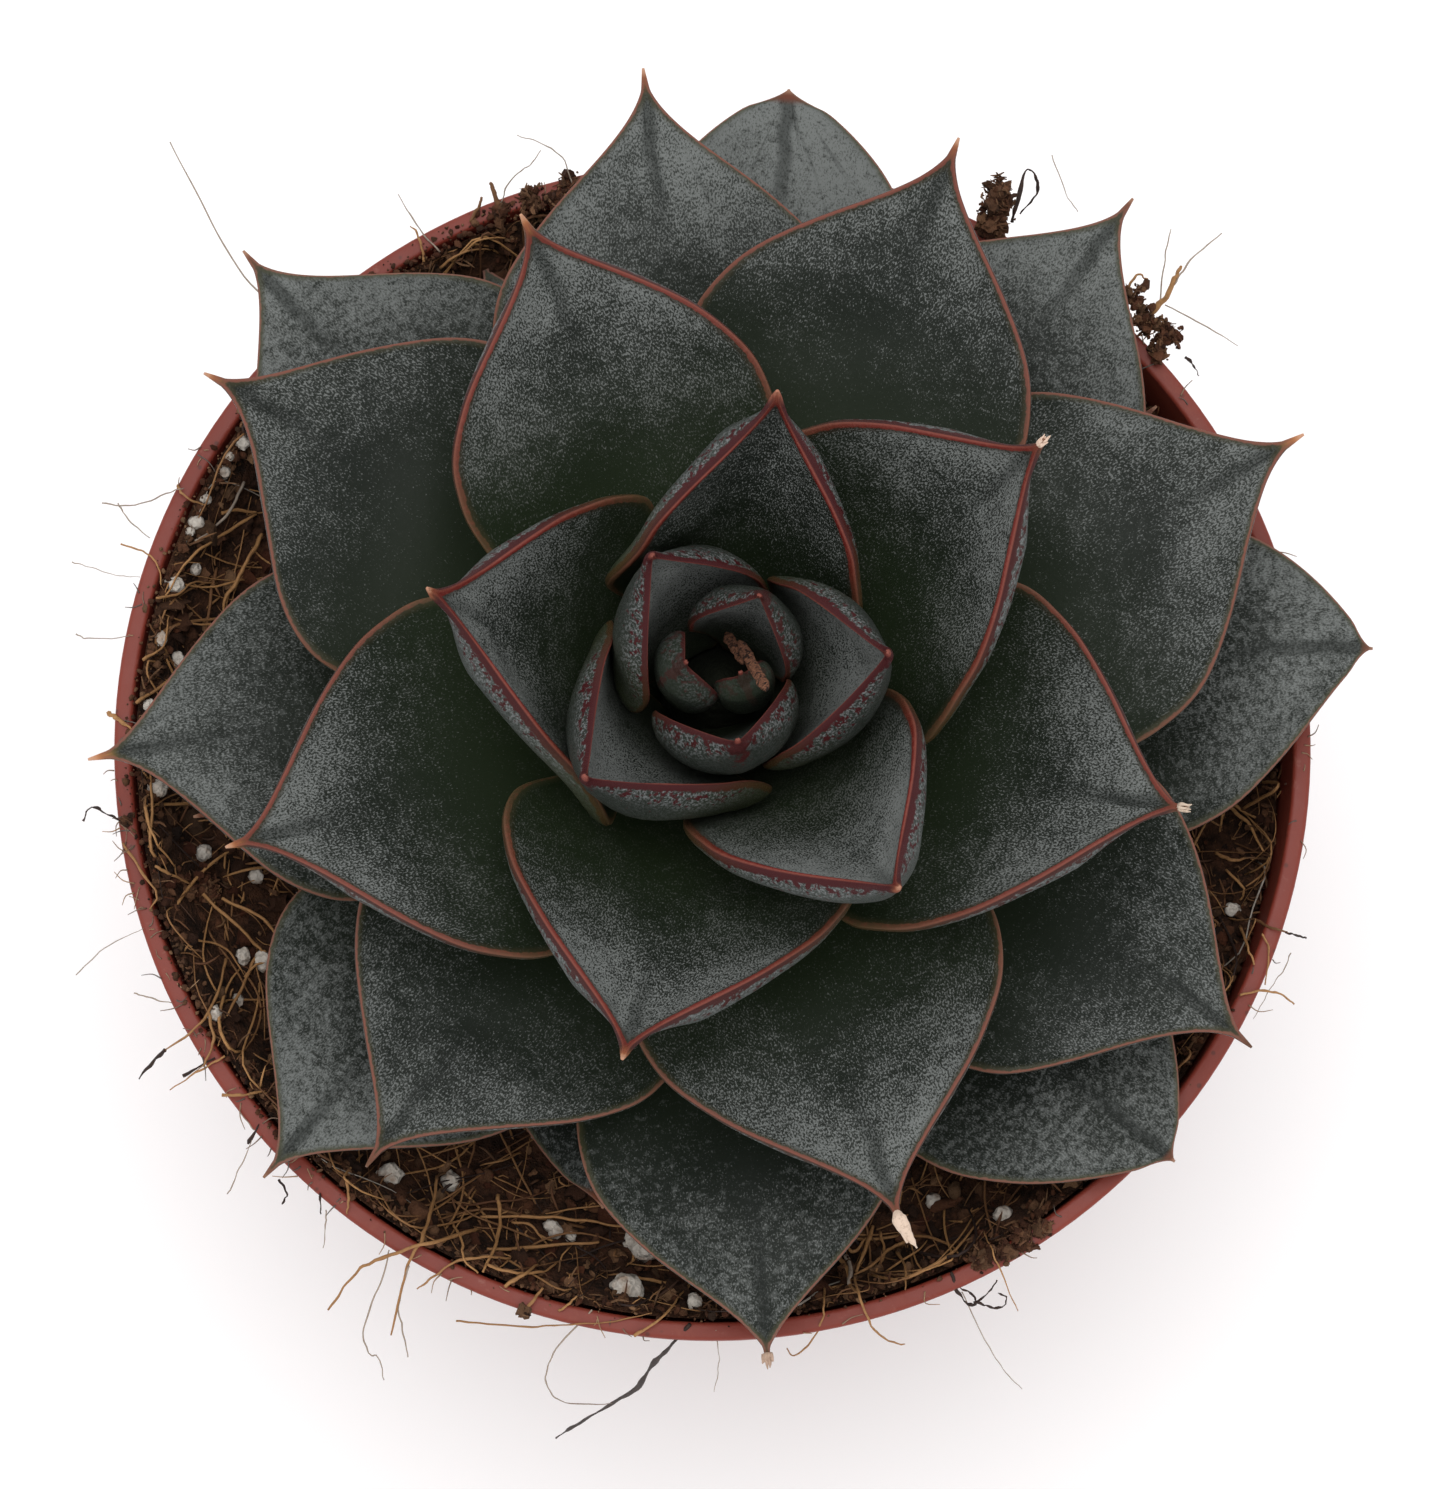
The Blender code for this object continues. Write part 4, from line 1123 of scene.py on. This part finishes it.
def rounded(profile, radius, steps=4):
    """The profile with each corner between its ends rounded."""
    made = [profile[0]]
    for before, corner, after in zip(profile, profile[1:], profile[2:]):
        corner = np.array(corner)
        back, on = before - corner, after - corner
        reach = min(radius, 0.45 * np.linalg.norm(back), 0.45 * np.linalg.norm(on))
        first, last = corner + unit(back) * reach, corner + unit(on) * reach
        for share in np.linspace(0, 1, steps + 1):
            made.append((1 - share) ** 2 * first + 2 * share * (1 - share) * corner + share**2 * last)
    return made + [profile[-1]]


def drill_holes(pot):
    """The drain holes, cut through the floor's ring-shaped recess."""
    drill = bmesh.new()
    middle = (BASE_RADIUS - FOOT_WIDTH + CENTRE_PAD_RADIUS) / 2
    for number in range(HOLE_COUNT):
        made = bmesh.ops.create_cone(
            drill, cap_ends=True, segments=40, radius1=HOLE_RADIUS, radius2=HOLE_RADIUS, depth=DRILL_LENGTH
        )
        place = Vector((*polar(middle, FULL_TURN * (number + 0.5) / HOLE_COUNT), FLOOR_RAISE))
        for vertex in made["verts"]:
            vertex.co += place
    holes = bpy.data.meshes.new("drain_holes")
    drill.to_mesh(holes)
    drill.free()
    cutter = linked("drain_holes", holes)
    boolean = pot.modifiers.new("cut", "BOOLEAN")
    boolean.operation = "DIFFERENCE"
    boolean.object = cutter
    bpy.context.view_layer.update()
    mesh = bpy.data.meshes.new_from_object(pot.evaluated_get(bpy.context.evaluated_depsgraph_get()))
    pot.modifiers.clear()
    pot.data = mesh
    mesh.set_sharp_from_angle(angle=math.radians(POT_SHARP_ANGLE))
    bpy.data.objects.remove(cutter)


def make_pot():
    collar = POT_HEIGHT - COLLAR_HEIGHT
    floor = FLOOR_RAISE + FLOOR
    profile = (
        (0, floor),
        (wall_radius(floor) - WALL, floor),
        (wall_radius(collar - RIM_THICKNESS) - WALL, collar - RIM_THICKNESS),
        (collar_inside(collar + RIM_THICKNESS), collar + RIM_THICKNESS),
        (collar_inside(POT_HEIGHT), POT_HEIGHT),
        (RIM_RADIUS, POT_HEIGHT),
        (RIM_RADIUS - COLLAR_TAPER, collar),
        (wall_radius(collar), collar),
        (BASE_RADIUS, 0),
        (BASE_RADIUS - FOOT_WIDTH, 0),
        (BASE_RADIUS - FOOT_WIDTH - FLOOR_RAISE, FLOOR_RAISE),
        (CENTRE_PAD_RADIUS + FLOOR_RAISE, FLOOR_RAISE),
        (CENTRE_PAD_RADIUS, 0),
        (0, 0),
    )
    points, faces = turned(rounded(profile, POT_ROUNDING), POT_STEPS)
    pot = add_piece("pot_shell", points, faces, pot_finish(), {}, ("pot",), POT_SHARP_ANGLE)
    drill_holes(pot)


def make_soil():
    stem_gap = STEM_RADIUS + GAP
    edge_radius = collar_inside(POT_HEIGHT - SOIL_DEPTH_EDGE) - GAP
    bottom = POT_HEIGHT - ROOT_DEPTH - GAP
    collar = POT_HEIGHT - COLLAR_HEIGHT + RIM_THICKNESS
    ledge = POT_HEIGHT - COLLAR_HEIGHT - RIM_THICKNESS
    floor = FLOOR_RAISE + FLOOR
    turn = turns(SOIL_STEPS)
    hole = [(PLANT_X + x, PLANT_Y + y, bottom) for x, y in (polar(ROOT_END_RADIUS + GAP, a) for a in turn)]
    rows = [hole]
    for share in np.linspace(0, 1, SOIL_RINGS):
        row = []
        for a in turn:
            x, y = polar(stem_gap + (edge_radius - stem_gap) * share, a)
            x += PLANT_X * (1 - share)
            y += PLANT_Y * (1 - share)
            z = crumbled(x, y)
            if share == 1:
                x, y = polar(collar_inside(z) - GAP, a)
            row.append((x, y, z))
        rows.append(row)
    side = (
        (collar_inside(collar) - GAP, collar + GAP),
        (wall_radius(ledge) - WALL - GAP, ledge + GAP),
        (wall_radius(floor) - WALL - GAP, floor + GAP),
    )
    for radius, height in side:
        rows.append([(*polar(radius, a), height) for a in turn])
    ends = [(PLANT_X, PLANT_Y, bottom), (0, 0, side[-1][1])]
    points = np.concatenate([np.array(rows).reshape(-1, 3), ends])
    faces = [face[::-1] for face in closed_faces(len(rows), SOIL_STEPS)]
    add_piece("soil_bed", points, faces, soil_finish(), {}, ("soil",), SOIL_SHARP_ANGLE)


def make_stem():
    """The stem's profile, from the root's end up, with a low ring for each leaf."""
    profile = [(0, POT_HEIGHT - ROOT_DEPTH), (ROOT_END_RADIUS, POT_HEIGHT - ROOT_DEPTH)]
    for height in np.linspace(-SOIL_DEPTH_CENTRE, STEM_TOP - 0.3 * MM, STEM_ROWS):
        ring = STEM_RELIEF * math.sin(height / LEAF_SPACING * FULL_TURN)
        ring *= min(1, (STEM_TOP - height) / STEM_APEX_LENGTH)
        profile.append((stem_radius(height) + ring, POT_HEIGHT + height))
    profile.append((0, POT_HEIGHT + STEM_TOP))
    points, faces = turned(profile, STEM_STEPS)
    add_piece("stem_bark", points + (PLANT_X, PLANT_Y, 0), faces, stem_finish(), {}, ("stem",))


def make_crumbs():
    draw = np.random.default_rng(CRUMB_SEED)
    points, faces = ball(2)
    bits = Bits()
    count = 0
    while count < CRUMB_COUNT:
        radius = CRUMB_REACH * math.sqrt(draw.uniform(0.1, 1))
        turn = draw.uniform(0, FULL_TURN)
        if draw.uniform() > (radius / CRUMB_REACH) ** 2:
            continue
        size = MM * min(1.25, 0.25 + draw.exponential(0.3))
        if radius > collar_inside(POT_HEIGHT - SOIL_DEPTH_EDGE) - size - 0.1 * MM:
            continue
        x, y = polar(radius, turn)
        place = (x, y, crumbled(x, y) + 0.25 * size)
        lump = size * shard(draw, points, 0.4, 1.25, 0.38) * (1, 1, 0.8) + place
        bits.add(lump, faces, (draw.uniform() ** 1.5, draw.uniform() < 0.3, draw.uniform() ** 6))
        count += 1

    # Grit along the inner half of the rim, where the soil is high.
    points, faces = ball(1)
    for count, azimuth, fan, inset, spread in GRIT:
        for _ in range(count):
            turn = draw.normal(azimuth, fan)
            x, y = polar(RIM_RADIUS - MM * (inset + spread * draw.uniform() ** 0.5), turn)
            size = MM * (0.08 + 0.34 * draw.uniform() ** 3)
            lump = size * shard(draw, points, 0.5, 1.2, 0.3) + (x, y, resting_height(x, y) + 0.4 * size)
            bits.add(lump, faces, (draw.uniform(), draw.uniform() < 0.4, draw.uniform() ** 5))
    bits.piece("soil_crumbs", crumb_finish(), "soil", CRUMB_SHARP_ANGLE)


def make_perlite():
    draw = np.random.default_rng(PERLITE_SEED)
    soil_edge = collar_inside(POT_HEIGHT - SOIL_DEPTH_EDGE)
    points, faces = ball(3)
    bits = Bits()
    places = [(photo_point(x, y, PERLITE_HEIGHT)[:2], size) for x, y, size in PERLITE]
    for _ in range(LOOSE_PERLITE):
        radius = PERLITE_REACH * math.sqrt(draw.uniform(0.25, 0.98))
        place = polar(radius, draw.uniform(0, FULL_TURN))
        places.append((place, draw.uniform(0.6, 1.5)))
    for place, size in places:
        radius = size / 2 * MM
        x, y = kept_within(*place, soil_edge - radius - GRAIN_CLEARANCE)
        shift = draw.uniform(0, 90, 3)
        bumps = [noise.noise(Vector(point * 1.6 + shift)) + 0.5 * noise.noise(Vector(point * 4 + shift))
                 for point in points]
        lump = points * draw.uniform(0.85, 1.15, 3) * (1 + 0.3 * np.array(bumps)[:, None]) * radius
        bits.add(lump + (x, y, crumbled(x, y) + 0.55 * radius), faces, (0, 0, 0))
    bits.piece("perlite_grains", perlite_finish(), "soil")


def make_fibres(material):
    draw = np.random.default_rng(FIBRE_SEED)
    bits = Bits()
    most = collar_inside(POT_HEIGHT) - FIBRE_CLEARANCE
    share = np.linspace(0, 1, FIBRE_POINTS)
    arch = np.sin(math.pi * share)
    made = 0
    while made < FIBRE_COUNT:
        step = MM * draw.uniform(4, 17) / (FIBRE_POINTS - 1)
        radius = FIBRE_REACH * math.sqrt(draw.uniform(0.3, 1))
        if draw.uniform() > (radius / FIBRE_REACH) ** 3:
            continue
        x, y = polar(radius, draw.uniform(0, FULL_TURN))
        heading = draw.uniform(0, FULL_TURN)
        bend = draw.normal(0, 0.9) / (FIBRE_POINTS - 1)
        path = []
        for _ in share:
            path.append((x, y, resting_height(x, y)))
            heading += bend + draw.normal(0, 0.16)
            x += step * math.cos(heading)
            y += step * math.sin(heading)
            if math.hypot(x, y) > most:
                heading += 0.9 * math.sin(math.atan2(-y, -x) - heading)
                x, y = kept_within(x, y, most)
        path = np.array(path)
        thick = MM * draw.choice((0.05, 0.08, 0.11, 0.16), p=(0.3, 0.35, 0.25, 0.1))
        lift = MM * draw.uniform(0.1, 1.4) * arch - 0.5 * MM * (1 - arch**0.5)
        path[:, 2] = smoothed(path[:, 2], 3) + lift + thick
        smoothed(path[:, :2], 1)
        tone = (draw.uniform(), draw.uniform() < 0.12, draw.uniform() < 0.04)
        tube(bits, path, thick * (1 - 0.6 * share**3), tone)
        made += 1
    bits.piece("coir_fibres", material, "soil")

    # Short shreds among the crumbs.
    bits = Bits()
    for _ in range(SHRED_COUNT):
        radius = SHRED_REACH * math.sqrt(draw.uniform(0.25, 1))
        x, y = polar(radius, draw.uniform(0, FULL_TURN))
        aim = unit(draw.normal(size=3) * (1, 1, 0.45)) * MM * draw.uniform(0.6, 2.8)
        start = np.array((x, y, crumbled(x, y) + draw.uniform(0.1, 0.9) * MM))
        end = start + aim
        end[:2] = kept_within(*end[:2], collar_inside(POT_HEIGHT) - SHRED_CLEARANCE)
        path = bent(draw, start, end, 0.2)
        thick = MM * draw.uniform(0.04, 0.13)
        tone = (draw.uniform() ** 1.3, 0.6 * (draw.uniform() < 0.3), 0)
        tube(bits, path, thick * SHRED_TAPER, tone, 4)
    bits.piece("coir_shreds", material, "soil")


def make_roots(material):
    draw = np.random.default_rng(ROOT_SEED)
    bits = Bits()
    for tone, radius, *points in ROOTS:
        path = curve([laid(*point) for point in points])
        path[1:-1] += smoothed(draw.normal(0, 0.07 * MM, (len(path), 3)), 1)[1:-1]
        share = np.linspace(0, 1, len(path))
        knots = 1 + 0.18 * smoothed(draw.normal(0, 1, len(path)), 1)
        if tone is DARK:
            knots *= 1 + 0.5 * smoothed(draw.normal(0, 1, len(path)), 1)
        radii = 0.82 * radius * MM * knots.clip(0.5, 1.6) * (1 - 0.45 * share**2)
        tube(bits, path, radii, np.array(tone) * (draw.uniform(0.75, 1.1), 1, 1), 6)

    # Short hairs that stand out from the rim.
    for _ in range(HAIR_COUNT):
        turn = draw.uniform(0, FULL_TURN)
        if draw.uniform() > 0.25 + 0.75 * math.exp(-((turn - HAIRY_SIDE) / HAIRY_SPREAD) ** 2):
            continue
        outward = direction(math.degrees(turn), 0)
        aim = unit(outward * draw.uniform(0.2, 1) + draw.normal(0, 0.6, 3) * (1, 1, 0.5))
        start = outward * (RIM_RADIUS - draw.uniform(0, 1.2) * MM) + (0, 0, POT_HEIGHT)
        length = MM * draw.uniform(0.5, 2.4)
        end = start + length * unit(aim + draw.normal(0, 0.3, 3))
        path = curve([start, start + 0.5 * length * aim, end], 3)
        path[:, 2] = np.maximum(path[:, 2], POT_HEIGHT + 0.03 * MM)
        tone = (draw.uniform(), draw.uniform() < 0.3, 0.3)
        tube(bits, path, np.linspace(0.07, 0.03, len(path)) * MM, tone, 4)
    bits.piece("loose_roots", material, "soil")


def make_clumps():
    draw = np.random.default_rng(CLUMP_SEED)
    shapes = {True: ball(2), False: ball(1)}
    bits = Bits()
    for x, y, lift, spread, count, red in CLUMPS:
        centre = laid(x, y, lift)
        for _ in range(count):
            size = MM * (0.12 + 0.42 * draw.uniform() ** 2)
            place = centre + draw.normal(0, 0.5 * spread * MM, 3) * (1, 1, 0.6)
            ground = resting_height(place[0], place[1])
            place[2] = max(place[2], ground + 0.4 * size)
            points, faces = shapes[size > 0.3 * MM]
            lump = size * shard(draw, points, 0.3, 1.4, 0.45) + place
            bits.add(lump, faces, (draw.uniform(), red, 0.5 * draw.uniform() ** 3))
            if draw.uniform() < 0.55:
                aim = MM * draw.uniform(0.5, 1.5) * unit(draw.normal(size=3) * (1, 1, 0.6))
                path = bent(draw, place - aim / 2, place + aim / 2, 0.15)
                path[:, 2] = np.maximum(path[:, 2], ground + 0.05 * MM)
                radii = MM * draw.uniform(0.04, 0.13) * SHRED_TAPER
                tube(bits, path, radii, (draw.uniform(0.4, 1), 0.5 * red, 0.8 * draw.uniform() ** 1.5), 4)

    # Crumbs and shreds along the foot of the wall.
    points, faces = shapes[False]
    wall = collar_inside(POT_HEIGHT)
    for _ in range(WALL_CRUMB_COUNT):
        turn = draw.uniform(0, FULL_TURN)
        x, y = polar(wall - WALL_CRUMB_CLEARANCE - 1.4 * MM * draw.uniform() ** 2, turn)
        size = MM * draw.uniform(0.2, 0.55)
        place = np.array((x, y, crumbled(x, y) + draw.uniform(0.1, 0.6) * MM))
        lump = size * shard(draw, points, 0.4, 1.2, 0.35) + place
        bits.add(lump, faces, (draw.uniform(), 0.4, 0.5 * draw.uniform() ** 2))
        if draw.uniform() < 0.4:
            aim = MM * draw.uniform(0.6, 2.2) * unit(draw.normal(size=3) * (1, 1, 0.3) + (0, 0, 0.3))
            end = place + aim
            end[:2] = kept_within(*end[:2], wall - WALL_SHRED_CLEARANCE)
            path = bent(draw, place, end, 0.15)
            radii = MM * draw.uniform(0.05, 0.13) * SHRED_TAPER
            tube(bits, path, radii, (draw.uniform(0.4, 1), 0.2, 0.9 * draw.uniform()), 4)
    bits.piece("rim_clumps", crumb_finish(), "soil", CRUMB_SHARP_ANGLE)


def make_dried_tips():
    draw = np.random.default_rng(TIP_SEED)
    bits = Bits()
    for number, x, y, drop, radius, tone in DRIED:
        leaf = Leaf(number)
        end = photo_point(x, y, leaf.tip[2] - drop * MM)
        along = unit(leaf.tip - leaf.tip_handle)
        aside = unit(np.cross(along, (0, 0, 1)))
        if number == PAPERY_TIP:
            start = leaf.tip - 1.3 * MM * along
            path = curve([start, leaf.tip - 0.4 * MM * along, 0.5 * (leaf.tip + end), end], 5)
            share = np.linspace(0, 1, len(path))
            radii = radius * MM * np.maximum(0.12, np.sin(math.pi * (0.1 + 0.9 * share) ** 0.75))
            tube(bits, path, radii * draw.uniform(0.8, 1.12, len(path)), tone, 10)
            fork = path[4:] + MM * np.linspace(0.1, 0.55, len(path) - 4)[:, None] * aside
            tube(bits, fork[:-3], 0.45 * radii[4:-3], tone, 7)
            continue
        for turn in turns(CROWN_SPIKES):
            outward = math.cos(turn) * aside + math.sin(turn) * np.cross(aside, along)
            root = leaf.tip - 0.6 * MM * along + 0.7 * radius * MM * outward
            top = root + MM * draw.uniform(0.7, 1.2) * unit(0.4 * (end - leaf.tip) + MM * along)
            top += MM * draw.uniform(-0.3, 0.7) * radius * outward
            path = bent(draw, root, top, 0.08)
            tube(bits, path, radius * MM * np.array((0.5, 0.5, 0.42, 0.3, 0.1)), tone)
    bits.piece("dried_tips", dry_finish(), "leaf")


def make_chip():
    bits = Bits()
    back = camera_axes()[2]
    for number, (start, end, half) in enumerate(CHIP):
        first, last = [photo_point(x, y, height * MM) for x, y, height in (start, end)]
        along = unit(last - first)
        across = unit(np.cross(along, back))
        upward = np.cross(across, along)
        points, tones = [], []
        for share in np.linspace(0, 1, CHIP_ROWS):
            place = first + share * (last - first)
            ends = min(1.0, 6 * share + 0.35, 6 * (1 - share) + 0.35)
            for angle in turns(CHIP_RING):
                x, y = polar(1, angle)
                grain = noise.noise(Vector((9 * share + 5 * number, 2.2 * x, 2.2 * y)))
                split = noise.noise(Vector((3 * share, 5 * x, 5 * y + 3 * number)))
                size = MM * ends * (1 + 0.35 * grain + 0.3 * split)
                points.append(place + size * (half * x * across + CHIP_THICKNESS * y * upward))
                tones.append((np.linalg.norm(last - first) / MM * share, x, number))
        tones += [(0, 0, number), (1, 0, number)]
        bits.add(np.array(points + [first, last]), closed_faces(CHIP_ROWS, CHIP_RING), tones)
    bits.piece("bark_chip", bark_finish(), "soil", CHIP_SHARP_ANGLE)


def make_floor():
    mesh = bpy.data.meshes.new("floor")
    corners = [(x * FLOOR_SIZE, y * FLOOR_SIZE, 0) for x, y in ((-1, -1), (1, -1), (1, 1), (-1, 1))]
    mesh.from_pydata(corners, [], [(0, 1, 2, 3)])
    mesh.materials.append(floor_finish())
    linked("floor", mesh)


def make_camera():
    back = camera_axes()[2]
    camera = linked("camera", bpy.data.cameras.new("camera"))
    camera.data.sensor_width = SENSOR
    camera.data.lens = LENS
    camera.data.clip_start = CLIP_START
    camera.data.clip_end = CLIP_END
    camera.location = Vector(CAMERA_AIM + back * CAMERA_DISTANCE)
    camera.rotation_mode = "QUATERNION"
    camera.rotation_quaternion = Vector(-back).to_track_quat("-Z", "Y")
    bpy.context.scene.camera = camera


def make_key_light():
    lamp = bpy.data.lights.new("key", "AREA")
    lamp.shape = "DISK"
    lamp.size = KEY_SIZE
    lamp.energy = KEY_POWER
    light = linked("key", lamp)
    light.location = KEY_PLACE
    light.rotation_mode = "QUATERNION"
    light.rotation_quaternion = (Vector(KEY_AIM) - Vector(KEY_PLACE)).to_track_quat("-Z", "Y")


def make_world():
    world = bpy.data.worlds.new("studio")
    world.use_nodes = True
    background = world.node_tree.nodes["Background"]
    background.inputs["Color"].default_value = (1.0, 1.0, 1.0, 1.0)
    background.inputs["Strength"].default_value = WORLD_STRENGTH
    bpy.context.scene.world = world
    bpy.context.scene.view_settings.view_transform = "Standard"


make_camera()
make_floor()
make_world()
make_key_light()
make_pot()
make_soil()
make_stem()
leaf_material = leaf_finish()
for number in range(1, len(LEAF_TIPS) + 1):
    leaf_piece(number, leaf_material)
make_crumbs()
make_perlite()
fibre_material = fibre_finish()
make_fibres(fibre_material)
make_roots(fibre_material)
make_clumps()
make_dried_tips()
make_chip()
